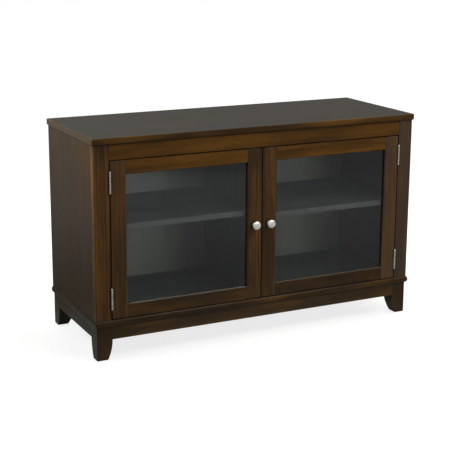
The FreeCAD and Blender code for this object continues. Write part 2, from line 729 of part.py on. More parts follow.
def sight_flare(grow0, y0, grow1, y1):
    """Block that flares from one grown outline of the glazed opening to another."""
    outlines = []
    for grow, y in ((grow0, y0), (grow1, y1)):
        points = [Vector(x, y, z) for x, z in sight_corners(grow)]
        outlines.append(Part.makePolygon(points + points[:1]))
    return Part.makeLoft(outlines, True, True)


def sight_bevel():
    """Flared block that bevels the front edge of the glazed opening."""
    return sight_flare(SIGHT_BEVEL, Y_FACE, 0, Y_FACE + SIGHT_BEVEL)


def glass_pane():
    return sight_box(GLASS_REBATE - GLASS_CLEAR, (Y_FACE + LIP, Y_FACE + LIP + GLASS_T))


def glazing_stops():
    """Four strips behind the glass, mitred at the corners and bevelled towards the room."""
    y0, y1 = Y_FACE + LIP + GLASS_T, Y_DOOR_BACK
    outer, inner = sight_corners(GLASS_REBATE), sight_corners(0)
    bevel = sight_flare(0, y1 - STOP_BEVEL, STOP_BEVEL, y1)
    stops = []
    for index in range(len(outer)):
        after = (index + 1) % len(outer)
        corners = [outer[index], outer[after], inner[after], inner[index]]
        stops.append(prism([Vector(x, y0, z) for x, z in corners], Y_AXIS * (y1 - y0)).cut(bevel))
    return stops


def knob():
    """Turned knob: a small foot, a waisted neck and a rounded head, bored for its screw from behind."""
    def point(radius, forward):
        return Vector(radius, -forward, 0)

    roll_x = KNOB_R - KNOB_ROLL_R
    roll_y = KNOB_PROJ - KNOB_DOME - KNOB_ROLL_R
    inner_dome = (roll_x ** 2 + KNOB_DOME ** 2) / (2 * KNOB_DOME)
    dome_r = inner_dome + KNOB_ROLL_R
    lean = math.asin(roll_x / inner_dome)

    def dome_point(angle):
        return point(dome_r * math.sin(angle), KNOB_PROJ - dome_r * (1 - math.cos(angle)))

    foot_edge = point(KNOB_FOOT_R, KNOB_FOOT_T)
    under_head = point(roll_x, roll_y - KNOB_ROLL_R)
    waist = point(KNOB_NECK_R, (KNOB_FOOT_T + roll_y - KNOB_ROLL_R) / 2)
    outline = [
        Part.makeLine(point(0, 0), point(KNOB_FOOT_R, 0)),
        Part.makeLine(point(KNOB_FOOT_R, 0), foot_edge),
        Part.Arc(foot_edge, waist, under_head).toShape(),
        Part.Arc(under_head, point(KNOB_R, roll_y), dome_point(lean)).toShape(),
        Part.Arc(dome_point(lean), dome_point(lean / 2), dome_point(0)).toShape(),
        Part.makeLine(dome_point(0), point(0, 0)),
    ]
    turned = outline_face(outline).revolve(point(0, 0), Y_AXIS, 360)
    bore = Part.makeCylinder(KNOB_SCREW_R + SCREW_CLEAR, KNOB_BORE_DEPTH, point(0, 0), Y_AXIS * -1)
    return turned.cut(bore).translated(Vector(KNOB_X, Y_FACE, KNOB_Z))


def knob_screw():
    seat = Vector(KNOB_X, Y_DOOR_BACK, KNOB_Z)
    length = DOOR_T + KNOB_SCREW_REACH
    return raised_head_screw(seat, Y_AXIS * -1, KNOB_SCREW_R, KNOB_SCREW_HEAD_R, KNOB_SCREW_HEAD_T, length)


def strike_screws():
    """Two screws that hold the strike plate to the back of the meeting stile, each with its hole."""
    sizes = (STRIKE_SCREW_R, STRIKE_SCREW_HEAD_R, STRIKE_SCREW_L)
    heads = [Vector(CATCH_X, Y_DOOR_BACK + STRIKE_T, z) for z in about(CATCH_Z, STRIKE_SCREW_SPREAD)]
    return [(screw(head, Y_AXIS * -1, *sizes), screw_hole(head, Y_AXIS * -1, *sizes)) for head in heads]


def strike_plate():
    plate = box(about(CATCH_X, STRIKE_W), (Y_DOOR_BACK, Y_DOOR_BACK + STRIKE_T), about(CATCH_Z, STRIKE_H))
    corners = [edge for x in about(CATCH_X, STRIKE_W) for z in about(CATCH_Z, STRIKE_H)
               for edge in edges_at(plate, x=x, z=z)]
    return cut_all(plate.makeFillet(CATCH_EDGE, corners), [hole for _, hole in strike_screws()])


def catch_screws():
    """Two screws through the catch housing into the divider, each with its hole."""
    sizes = (WOOD_SCREW_R, WOOD_SCREW_HEAD_R, CATCH_W + CATCH_SCREW_BITE)
    y = Y_MAGNET + MAGNET_PROUD + (CATCH_L + MAGNET_DEPTH) / 2
    heads = [Vector(X_DIVIDER + CATCH_W, y, z) for z in about(CATCH_Z, CATCH_SCREW_SPREAD)]
    return [(screw(head, X_AXIS * -1, *sizes), screw_hole(head, X_AXIS * -1, *sizes)) for head in heads]


def magnet_block(y0):
    return box(about(CATCH_X, MAGNET_W), (y0, Y_MAGNET + MAGNET_DEPTH), about(CATCH_Z, MAGNET_H))


def catch_housing():
    """Right catch: a block on the divider with a pocket for its magnet."""
    y0 = Y_MAGNET + MAGNET_PROUD
    block = box((X_DIVIDER, X_DIVIDER + CATCH_W), (y0, y0 + CATCH_L), about(CATCH_Z, CATCH_H))
    block = block.makeFillet(CATCH_EDGE, edges_at(block, x=X_DIVIDER + CATCH_W))
    return cut_all(block, [magnet_block(y0)] + [hole for _, hole in catch_screws()])


def bodies(pairs):
    """The screws of a list of screws with their holes."""
    return [body for body, _ in pairs]


def both(solids):
    """Right-hand solids with their mirror images."""
    return list(solids) + [mirrored(solid) for solid in solids]


def write_pair(name, shape):
    """A right-hand piece and its mirror image, each in a node of its own."""
    write("right_" + name, shape)
    write("left_" + name, mirrored(shape))


def write_case():
    write("top_panel", top_panel())
    write("frieze_rail", frieze_rail())
    write("rear_top_rail", rear_top_rail())
    write("center_divider", center_divider())
    write("bottom_panel", bottom_panel())
    write_pair("side_panel", side_panel())
    write_pair("front_post", front_post())
    write_pair("back_panel", back_panel())
    write("right_shelf", shelf(RIGHT_SHELF_ROW))
    write("left_shelf", mirrored(shelf(LEFT_SHELF_ROW)))
    write("shelf_pins", *shelf_pins(RIGHT_SHELF_ROW), *[mirrored(pin) for pin in shelf_pins(LEFT_SHELF_ROW)])
    write("back_panel_screws", *both(bodies(back_screws())))


def write_base():
    write("front_moulding", front_moulding())
    write_pair("side_moulding", side_moulding())
    front, rear = long_aprons()
    write("front_apron", front)
    write("rear_apron", rear)
    write_pair("side_apron", side_apron())
    corner_names = ("front_left", "front_right", "rear_left", "rear_right")
    for corner, foot in zip(corner_names, four_corners(rear_right_foot())):
        write(corner + "_foot", foot)
    write("floor_glides", *four_corners(rear_right_glide()))


def write_fixings():
    write("mounting_cleats", *cleats_on(base_cleat_lines(), Z_BASE), *cleats_on(top_cleat_lines(), Z_TOP))
    cleat_bodies = bodies(base_cleat_screws() + top_cleat_screws())
    write("case_screws", *cleat_bodies, *both(bodies(catch_screws())))
    write("catch_housings", *both([catch_housing()]))
    write("catch_magnets", *both([magnet_block(Y_MAGNET)]))
    write("case_hinge_leaves", *both([hinge_leaf(1, z) for z in HINGE_HEIGHTS]))
    write("case_hinge_screws", *both(bodies(hinge_screws(1))))
    write("hinge_pins", *both([hinge_pin(z) for z in HINGE_HEIGHTS]))


def write_doors():
    pieces = {name: [solid] for name, solid in door_members().items()}
    pieces["glass"] = [glass_pane()]
    pieces["glazing_stops"] = glazing_stops()
    pieces["knob"] = [knob()]
    pieces["knob_screw"] = [knob_screw()]
    pieces["strike_plate"] = [strike_plate()]
    pieces["strike_screws"] = bodies(strike_screws())
    pieces["hinge_leaves"] = [hinge_leaf(-1, z) for z in HINGE_HEIGHTS]
    pieces["hinge_screws"] = bodies(hinge_screws(-1))
    for name, solids in pieces.items():
        write("right_door_" + name, *solids)
        write("left_door_" + name, *[mirrored(solid) for solid in solids])


os.makedirs("parts", exist_ok=True)
write_case()
write_base()
write_fixings()
write_doors()
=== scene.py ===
import json
import math
from collections import namedtuple

import bmesh
import bpy
from bpy.props import FloatProperty, FloatVectorProperty, IntProperty, PointerProperty
from mathutils import Matrix, Vector


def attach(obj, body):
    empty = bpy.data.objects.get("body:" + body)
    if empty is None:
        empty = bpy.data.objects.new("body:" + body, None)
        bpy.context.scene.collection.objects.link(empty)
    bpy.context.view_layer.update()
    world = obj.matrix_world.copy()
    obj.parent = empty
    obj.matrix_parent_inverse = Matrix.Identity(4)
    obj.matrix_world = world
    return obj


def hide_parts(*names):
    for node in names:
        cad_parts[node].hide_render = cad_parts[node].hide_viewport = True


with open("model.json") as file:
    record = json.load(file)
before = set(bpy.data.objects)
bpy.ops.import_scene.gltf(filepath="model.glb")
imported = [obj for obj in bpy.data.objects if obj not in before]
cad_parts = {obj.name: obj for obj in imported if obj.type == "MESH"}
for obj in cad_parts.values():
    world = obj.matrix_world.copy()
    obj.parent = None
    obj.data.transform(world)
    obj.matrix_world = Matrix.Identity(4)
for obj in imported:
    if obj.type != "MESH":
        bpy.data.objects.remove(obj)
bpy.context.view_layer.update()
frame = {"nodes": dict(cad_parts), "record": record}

bl_info = {
    "name": "Media Console Finishes",
    "version": (1, 0, 0),
    "blender": (4, 5, 0),
    "location": "View3D > Sidebar > Console",
    "description": "Stains, glazes and fits out a glazed media console",
    "category": "Object",
}

DOOR_SIDES = ("left", "right")


def door_nodes(*parts):
    """Names of the same parts of both doors."""
    return [f"{side}_door_{part}" for side in DOOR_SIDES for part in parts]


# Stained pieces by the axis that their grain runs along, the tone and the strength of figure of their boards,
# the gloss of their lacquer and how far their edges are rubbed. The tones are partly the wood's own and
# partly
# painted light: the frieze and upper door rails are more amber as painted light on the upper front, the lower
# pieces and the moulding darker as painted shade, and the right hinge stile lighter and the right front post
# darker than their left twins for how the light falls on them
Stain = namedtuple("Stain", "axis tone figure gloss rubbed nodes")
STAINED = (
    # Top panel: its strongly rubbed edges also paint a highlight along its front arris
    Stain("X", 0.12, 1.0, 0.13, 0.8, ["top_panel"]),
    Stain("X", 0.16, 0.7, 0.08, 0.1, ["frieze_rail"]),
    Stain("X", 0.22, 0.9, 0.08, 0.1, door_nodes("top_rail")),
    Stain("X", -0.06, 1.0, 0.10, 0.0, ["front_moulding"]),
    Stain("X", 0.03, 0.8, 0.20, 0.3, ["front_apron", "rear_apron"]),
    Stain("Y", -0.14, 0.7, 0.16, 0.3, [
        "left_side_moulding", "right_side_moulding", "left_side_apron", "right_side_apron"]),
    Stain("Z", -0.09, 0.4, 0.13, 0.3, ["left_side_panel", "right_side_panel"]),
    Stain("Z", -0.05, 0.8, 0.18, 0.3, [
        "front_left_foot", "front_right_foot", "rear_left_foot", "rear_right_foot"]),
    Stain("Z", 0.05, 1.0, 0.23, 0.1, ["left_front_post"]),
    Stain("Z", -0.03, 1.0, 0.62, 0.1, ["right_front_post"]),
    Stain("Z", 0.02, 0.8, 0.23, 0.0, door_nodes("meeting_stile", "glazing_stops")),
    Stain("Z", 0.07, 0.8, 0.27, 0.0, ["left_door_hinge_stile"]),
    Stain("Z", 0.10, 0.8, 0.55, 0.0, ["right_door_hinge_stile"]),
)
# Lower door rails, each with the share of painted highlight on its lip below the glass
LIP_HIGHLIGHT_SHARES = {"left_door_bottom_rail": 1.0, "right_door_bottom_rail": 0.3}
LIPPED_STAIN = Stain("X", 0.025, 0.8, 0.18, 0.0, list(LIP_HIGHLIGHT_SHARES))
INNER_LENGTHWISE = ["bottom_panel", "rear_top_rail", "mounting_cleats"]
INNER_UPRIGHT = ["center_divider"]
SHELVES = ["left_shelf", "right_shelf"]
# Back panels, each with its paint as a share of the main colour; the right one is darker as painted shade in
# the right bay
BACK_PAINT_AND_BAY_SHADE = {"left_back_panel": 1.0, "right_back_panel": 0.77}
HINGES = ["case_hinge_leaves", "hinge_pins"] + door_nodes("hinge_leaves")
PINS_AND_STRIKES = ["shelf_pins"] + door_nodes("strike_plate")
CASE_SCREWS = ["back_panel_screws", "case_screws", "case_hinge_screws"]
SCREW_GROUPS = CASE_SCREWS + door_nodes("knob_screw", "strike_screws", "hinge_screws")

# Colour sockets of a Mix node, whose names other sockets have too
MIX_A = 6
MIX_B = 7
MIX_RESULT = 2
# Range that most of a noise lies in, and its middle
NOISE_RANGE = (0.3, 0.7)
NOISE_MIDDLE = 0.5
# How far chance moves the pattern of a piece along each axis
CHANCE_REACH = {"X": 31.0, "Y": 17.0, "Z": 23.0}
# Sharpness at which an edge starts to wear and is wholly worn, and the noise that breaks the wear up
EDGE_SHARPNESS = (0.015, 0.16)
WEAR_NOISE = (23.0, 4.0, 0.6)
WEAR_RANGE = (0.38, 0.66)
EDGE_SAMPLES = 4

# Order in which the parts of a coordinate are taken, so that the grain runs along the first
GRAIN_ORDER = {"X": (0, 1, 2), "Y": (1, 0, 2), "Z": (2, 0, 1)}
# Layers of a board's figure: scale along and across the grain, detail and roughness
GRAIN_LAYERS = {
    "sway": (1.1, 2.6, 2.0, 0.5),
    "streaks": (1.3, 34.0, 6.0, 0.62),
    "blotches": (2.4, 7.0, 3.0, 0.55),
    "flames": (6.5, 58.0, 3.0, 0.6),
}
SWAY_REACH = (0.0, 0.055, 0.055)
# Growth rings: scale of waves that lie a metre apart, stretch along the grain and how the waves wander
RING_SCALE = 0.314
RING_STRETCH = (0.16, 1.0, 1.0)
RING_WAVES = {"Distortion": 7.0, "Detail": 3.0, "Detail Scale": 0.35, "Detail Roughness": 0.55}
# Pores: scale along the grain, detail, range of noise that opens them and how they thin out between rings
PORE_ALONG = 24.0
PORE_DETAIL = 2.0
PORE_RANGE = (0.58, 0.72)
PORES_BY_RING = (0.15, 0.8, 0.35, 1.0)

# Share of each part of the figure in how deep the stain looks, its mean and its spread from board to board
FIGURE_SHARES = {"streaks": 0.50, "rings": 0.10, "blotches": 0.54, "flames": 0.34}
MEAN_DEPTH = 0.61
BOARD_SPREAD = 0.04
# Depths of the deep, main and amber stains, and how far pores take on the deep one
STAIN_STOPS = (0.40, 0.62, 0.86)
PORE_STAIN = 0.55
# How squarely a face has to look along an axis for the painted top sheen or the end-grain colour on it to
# start and to be full
SQUARE_ON = (0.85, 0.98)
# Share of the dark edge glaze, which also paints the shade at the edges of gaps
EDGE_GLAZE_AND_SHADE_SHARE = 0.95
# Openness of a place at which the painted shade in gaps is full and at which it ends
GAP_SHADE_OPENNESS = (0.50, 1.0)
GAP_SAMPLES = 6
# Roughness of the lacquer below and above its mean and over pores, and the relief of the wood
LACQUER_SWING = (-0.05, 0.06)
PORE_ROUGHNESS = 0.14
STREAK_RELIEF = 0.35
WOOD_BUMP = (0.16, 0.0005)

# Boards inside the case: ring spacing, pore width, shares of the figure and depths of the three colours
INNER_RINGS = 0.03
INNER_PORES = 0.0012
INNER_SHARES = {"streaks": 0.55, "blotches": 0.45}
INNER_STOPS = (0.30, 0.52, 0.80)
INNER_PORE_STAIN = 0.35
INNER_WEAR_RADIUS = 0.0025
INNER_WEAR_SHARE = 0.6
INNER_SWING = (-0.06, 0.08)
INNER_RELIEF = 0.4
INNER_BUMP = (0.14, 0.0004)
INNER_GLOSS = 0.10
# How far a face looks to the back where the painted highlight on the front edge of a shelf starts and is
# full, and its share
LIP_FACING = (-0.5, -0.9)
LIP_HIGHLIGHT_SHARE = 0.19

# Hardboard: shades of the paint, fibres and clouds of the bare face, and where that face starts
PAINT_SHADES = (0.88, 1.0, 1.12)
FIBER_NOISE = (420.0, 6.0, 0.7)
CLOUD_NOISE = (9.0, 4.0, 0.6)
MOTTLE_SHARES = {"fibers": 0.6, "clouds": 0.4}
BARE_STOPS = (0.32, 0.50, 0.70)
BARE_SHADES = (0.55, 1.0, 1.45)
BARE_FACING = (0.4, 0.6)
BARE_ROUGHNESS = 0.78
FIBER_SWING = (-0.06, 0.08)
FIBER_BUMP = (0.30, 0.0005)

# Wiping marks on glass: stretch, detail and roughness of the noise, and how far they dull the pane
SMEAR_STRETCH = (1.0, 1.0, 0.45)
SMEAR_NOISE = (5.0, 0.6)
SMEAR_DULLNESS = (0.42, 0.7, 0.0, 0.012)

# Metal finishes: roughness where smoothest and where roughest, scale and depth of scratches, metallic share
Metal = namedtuple("Metal", "smooth rough scratch_scale scratch_depth metallic")
METALS = {
    "Satin Nickel": Metal(0.24, 0.34, 700.0, 0.0001, 1.0),
    "Frosted Nickel": Metal(0.24, 0.34, 700.0, 0.0001, 0.55),
    "Zinc Plate": Metal(0.28, 0.42, 1200.0, 0.00008, 1.0),
    "Zinc Screw": Metal(0.26, 0.40, 1500.0, 0.00006, 1.0),
    "Nickel Screw": Metal(0.20, 0.32, 1500.0, 0.00006, 1.0),
}
POLISH_NOISE = (90.0, 4.0, 0.6)
SCRATCH_STRETCH = (1.0, 0.22, 1.0)
SCRATCH_NOISE = (3.0, 0.65, 0.6)
SCRATCH_DULLNESS = (0.55, 0.75, 0.0, 0.10)
SCRATCH_BUMP = 0.10
TARNISH_NOISE = (46.0, 5.0, 0.7)
TARNISH_SPREAD = (0.56, 0.78, 0.0, 0.30)
TARNISH_SHADE = 0.62

# Moulded plastic: spark texture and scuffs
SPARK_NOISE = (1600.0, 3.0, 0.6)
SPARK_ROUGHNESS = (0.48, 0.66)
SPARK_BUMP = (0.25, 0.0002)
SCUFF_NOISE = (120.0, 5.0, 0.7)
SCUFF_RANGE = (0.55, 0.75)
SCUFF_SHADE = 2.4
PLASTIC_GLOSS = 0.4

# Sintered magnets: grains and chipped edges
MAGNET_NOISE = (1100.0, 4.0, 0.65)
MAGNET_GRAINS = (0.4, 0.75, 0.0, 0.5)
MAGNET_ROUGHNESS = (0.42, 0.62)
MAGNET_BUMP = (0.2, 0.0002)
MAGNET_METALLIC = 0.6
MAGNET_SHADE = 2.2
CHIP_RADIUS = 0.0012
CHIP_SCALE = (9.0, 9.0, 9.0)

# Plain screws of the frame: how near an end and the widest radius a point has to lie, and the digits of a
# place by which points are the same
END_SHARE = 0.02
RIM_SHARE = 0.98
JOIN_DIGITS = 7
# Cross screws: tip, head profiles and cross recess as shares of the radii. The depths of a round head are
# shares of its height
TIP_RADIUS = 0.3
TIP_LENGTH = 1.6
ROUND_PROFILE = ((1.0, 1.0), (0.985, 0.72), (0.86, 0.26), (0.66, 0.0))
SUNK_PROFILE = ((0.99, 0.03), (0.94, 0.02))
RECESS_WIDTH = 0.20
RECESS_DEPTH = 0.42
RECESS_TAPER = (0.55, 0.8)

WHITE = (1.0, 1.0, 1.0)
# Floor: cells of its mesh, speckle, oval round the console, and distances over which its light changes
FLOOR_CELLS = 8
SPECKLE_NOISE = (60.0, 3.0)
SPECKLE_SHADE = 0.985
FLOOR_OVAL = (0.55, 1.0, 1.0)
NEAR_BOUNCE_REACH = (0.36, 0.62)
WHITE_REACH = 2.2
BACKDROP_REACH = (0.4, 3.6)
MIRRORED_SHADE = (0.4, 2.0, 0.2, 1.0)
# World: height over which the sky turns into the ceiling, and the colour of its light
CEILING_START = (0.32, 0.58)
SKY_COLOR = (1.0, 0.995, 0.975)
# Ray depths below this are none
NO_DEPTH = 0.5

# Colours of lamplight
WARM = (1.0, 0.97, 0.92)
COOL = (0.96, 0.98, 1.0)
GREENISH = (0.91, 1.0, 0.93)
# Lamps by the setting of their power, size, place, the point that they face, the angle of their beam in
# degrees, whether they are seen in reflections, and colour
Lamp = namedtuple("Lamp", "power size place target spread mirrored color")
LAMPS = {
    "key_lamp": Lamp("key_power", (1.6, 0.8), (1.2, -1.7, 2.45), (0.20, -0.2, 0.50), 120.0, True, WARM),
    "fill_lamp": Lamp("fill_power", (0.9, 0.9), (0.65, -3.0, 0.80), (0.0, 0.0, 0.45), 180.0, False, COOL),
    "left_lamp": Lamp("left_power", (0.9, 0.6), (-1.45, 0.0, 1.35), (-0.6, 0.0, 1.02), 84.0, False, GREENISH),
    "right_lamp": Lamp("right_power", (1.6, 1.0), (2.4, 0.5, 1.5), (0.6, 0.0, 0.45), 120.0, False, WARM),
    "back_lamp": Lamp("back_power", (2.4, 1.0), (-0.2, 2.8, 1.4), (0.0, 0.2, 0.40), 120.0, False, WARM),
}
SENSOR_WIDTH = 36.0
CLIP_END = 200.0

# Options that settings of one kind share
COLOR = {"subtype": "COLOR", "size": 3, "min": 0, "max": 1}
FACTOR = {"subtype": "FACTOR", "min": 0, "max": 1}
POWER = {"unit": "POWER", "min": 0, "max": 2000}
STRENGTH = {"min": 0, "max": 5}


class WoodSettings(bpy.types.PropertyGroup):
    """Stain and lacquer on the outside of the console, with painted sheen, highlights and shade."""
    deep_stain: FloatVectorProperty(
        name="Deep Stain", description="Colour where the stain lies thickest",
        default=(0.0152, 0.0088, 0.0048), **COLOR)
    main_stain: FloatVectorProperty(
        name="Main Stain", description="Colour over most of the wood",
        default=(0.0365, 0.0184, 0.0066), **COLOR)
    amber_stain: FloatVectorProperty(
        name="Amber Stain", description="Colour where the wood shines through the stain",
        default=(0.112, 0.0490, 0.0095), **COLOR)
    # Painted shade: this dark colour is the glaze along edges and stands for the shade in gaps and at their
    # edges
    edge_glaze_and_gap_shade: FloatVectorProperty(
        name="Edge Glaze", description="Colour of the dark glaze along edges and in gaps",
        default=(0.006, 0.0040, 0.0026), **COLOR)
    # Worn edges; on the top panel they also paint the highlight along its front arris
    worn_edge_and_highlight: FloatVectorProperty(
        name="Rubbed Edge", description="Colour of worn edges", default=(0.120, 0.078, 0.042), **COLOR)
    # Painted sheen: faces that look up take this grey in place of the sheen that the light lays on them
    painted_top_sheen: FloatVectorProperty(
        name="Top Glaze", description="Colour of the grey glaze on faces that look up",
        default=(0.0080, 0.0098, 0.0080), **COLOR)
    # Painted highlight: colour of the thin lips below the door glass, where the light catches them
    painted_lip_highlight: FloatVectorProperty(
        name="Lip Glaze", description="Colour of the thin lips below the door glass",
        default=(0.58, 0.55, 0.50), **COLOR)
    end_grain: FloatVectorProperty(
        name="End Grain", description="Colour of the ends of boards",
        default=(0.028, 0.0205, 0.0125), **COLOR)
    end_tone: FloatProperty(
        name="End Tone", description="How far the ends of boards take on their own colour",
        default=0.85, **FACTOR)
    # Share of the painted top sheen on faces that look up
    painted_top_sheen_share: FloatProperty(
        name="Top Tone", description="How far the grey glaze covers faces that look up",
        default=0.88, **FACTOR)
    ring_spacing: FloatProperty(
        name="Ring Spacing", description="Distance between growth rings across a board", unit="LENGTH",
        min=0.002, max=0.1, default=0.014)
    pore_width: FloatProperty(
        name="Pore Width", description="Width of the open pores", unit="LENGTH",
        min=0.0001, max=0.01, default=0.0009)
    edge_radius: FloatProperty(
        name="Edge Radius", description="How far wear reaches in from an edge", unit="LENGTH",
        min=0.0, max=0.02, default=0.0030)
    # Reach of the painted shade in gaps
    gap_shade_reach: FloatProperty(
        name="Gap Reach", description="How far apart faces may be for dark glaze to gather between them",
        unit="LENGTH", min=0.0, max=0.1, default=0.014)
    roughness: FloatProperty(
        name="Roughness", description="Mean roughness of the lacquer", default=0.36, **FACTOR)


class InsideSettings(bpy.types.PropertyGroup):
    """Boards inside the case and its back."""
    deep_color: FloatVectorProperty(
        name="Deep Colour", description="Darkest colour of the inner boards",
        default=(0.014, 0.0140, 0.0134), **COLOR)
    main_color: FloatVectorProperty(
        name="Main Colour", description="Main colour of the inner boards",
        default=(0.027, 0.0272, 0.0260), **COLOR)
    pale_color: FloatVectorProperty(
        name="Pale Colour", description="Palest streaks of the inner boards",
        default=(0.044, 0.0440, 0.0420), **COLOR)
    shelf_tone: FloatProperty(
        name="Shelf Tone", description="Colour of the shelves as a share of the inner boards'",
        default=0.68, **FACTOR)
    # Rubbed edges inside the case; on the shelves' front edges also a painted highlight
    worn_edge_and_shelf_highlight: FloatVectorProperty(
        name="Edge Colour", description="Colour of rubbed edges inside the case",
        default=(0.11, 0.109, 0.104), **COLOR)
    back_color: FloatVectorProperty(
        name="Back Colour", description="Main colour of the paint on the back panels",
        default=(0.117, 0.1120, 0.0980), **COLOR)
    bare_color: FloatVectorProperty(
        name="Bare Colour", description="Colour of the bare hardboard at the back",
        default=(0.088, 0.052, 0.029), **COLOR)
    roughness: FloatProperty(
        name="Roughness", description="Mean roughness inside the case", default=0.55, **FACTOR)


class GlassSettings(bpy.types.PropertyGroup):
    """Panes of the doors."""
    tint: FloatVectorProperty(
        name="Tint", description="Colour of the glass", default=(0.915, 0.955, 0.95), **COLOR)
    index: FloatProperty(
        name="Index", description="Index of refraction", min=1, max=2, default=1.5)
    smear_size: FloatProperty(
        name="Smear Size", description="Width of the faint wiping marks", unit="LENGTH",
        min=0.005, max=0.5, default=0.08)


class FittingSettings(bpy.types.PropertyGroup):
    """Metal and plastic fittings."""
    nickel: FloatVectorProperty(
        name="Nickel", description="Colour of the knobs, hinges and hinge screws",
        default=(0.88, 0.86, 0.81), **COLOR)
    zinc: FloatVectorProperty(
        name="Zinc", description="Colour of the other screws, shelf pins and strike plates",
        default=(0.52, 0.53, 0.54), **COLOR)
    plastic: FloatVectorProperty(
        name="Plastic", description="Colour of the catch housings and floor glides",
        default=(0.012, 0.012, 0.013), **COLOR)
    magnet: FloatVectorProperty(
        name="Magnet", description="Colour of the catch magnets", default=(0.075, 0.075, 0.08), **COLOR)
    recess_share: FloatProperty(
        name="Recess Share", description="Length of a screw's cross recess as a share of its head",
        subtype="FACTOR", min=0.1, max=0.8, default=0.52)
    head_sides: IntProperty(
        name="Head Sides", description="Sides round a screw head", min=12, max=64, default=28)


class StudioSettings(bpy.types.PropertyGroup):
    """Floor, lamps and camera."""
    floor_color: FloatVectorProperty(
        name="Floor Colour", description="Colour of the pale floor", default=(0.32, 0.32, 0.32), **COLOR)
    bounce_color: FloatVectorProperty(
        name="Bounce Colour", description="Colour of the light that the far floor throws back",
        default=(0.114, 0.122, 0.120), **COLOR)
    near_bounce_color: FloatVectorProperty(
        name="Near Bounce Colour",
        description="Colour of the light that the floor throws back under the console",
        default=(0.54, 0.66, 0.63), **COLOR)
    floor_size: FloatProperty(
        name="Floor Size", description="Width of the floor", unit="LENGTH", min=2, max=100, default=30)
    floor_glow: FloatProperty(
        name="Floor Glow", description="How much of the floor's white is there without lamplight",
        default=0.78, **FACTOR)
    front_glow: FloatProperty(
        name="Front Glow", description="Brightness of the floor in front in reflections",
        default=0.22, **FACTOR)
    backdrop_glow: FloatProperty(
        name="Backdrop Glow", description="Brightness of the floor behind in reflections",
        default=0.33, **FACTOR)
    white_from: FloatProperty(
        name="White From", description="Distance at which the floor starts to fade to white", unit="LENGTH",
        min=0.1, max=20, default=0.34)
    sky_strength: FloatProperty(
        name="Sky Strength", description="Light from all round", default=0.11, **STRENGTH)
    sky_gloss: FloatProperty(
        name="Sky Gloss", description="Brightness of the sky in reflections", default=0.225, **STRENGTH)
    ceiling_gloss: FloatProperty(
        name="Ceiling Gloss", description="Brightness of the ceiling in reflections", default=1.2, **STRENGTH)
    key_power: FloatProperty(
        name="Key Power", description="Power of the long lamp above the front", default=17, **POWER)
    fill_power: FloatProperty(
        name="Fill Power", description="Power of the low lamp in front", default=25.5, **POWER)
    left_power: FloatProperty(
        name="Left Power", description="Power of the lamp on the left", default=10.9, **POWER)
    right_power: FloatProperty(
        name="Right Power", description="Power of the lamp on the right", default=14, **POWER)
    back_power: FloatProperty(
        name="Back Power", description="Power of the lamp behind", default=26, **POWER)
    lens: FloatProperty(
        name="Lens", description="Focal length", unit="CAMERA", min=10, max=300, default=93.99)
    camera_place: FloatVectorProperty(
        name="Camera Place", description="Where the camera stands", subtype="XYZ", unit="LENGTH", size=3,
        default=(-1.9194, -3.7819, 1.4573))
    camera_turn: FloatVectorProperty(
        name="Camera Turn", description="Heading, downward tilt and roll of the camera", subtype="XYZ",
        unit="ROTATION", size=3, default=(-0.46156, 0.23309, 0.00493))
    camera_shift: FloatProperty(
        name="Camera Shift", description="Upright shift of the picture", min=-1, max=1, default=-0.05)


class ConsoleSettings(bpy.types.PropertyGroup):
    """All settings of the console."""
    wood: PointerProperty(type=WoodSettings)
    inside: PointerProperty(type=InsideSettings)
    glass: PointerProperty(type=GlassSettings)
    fittings: PointerProperty(type=FittingSettings)
    studio: PointerProperty(type=StudioSettings)


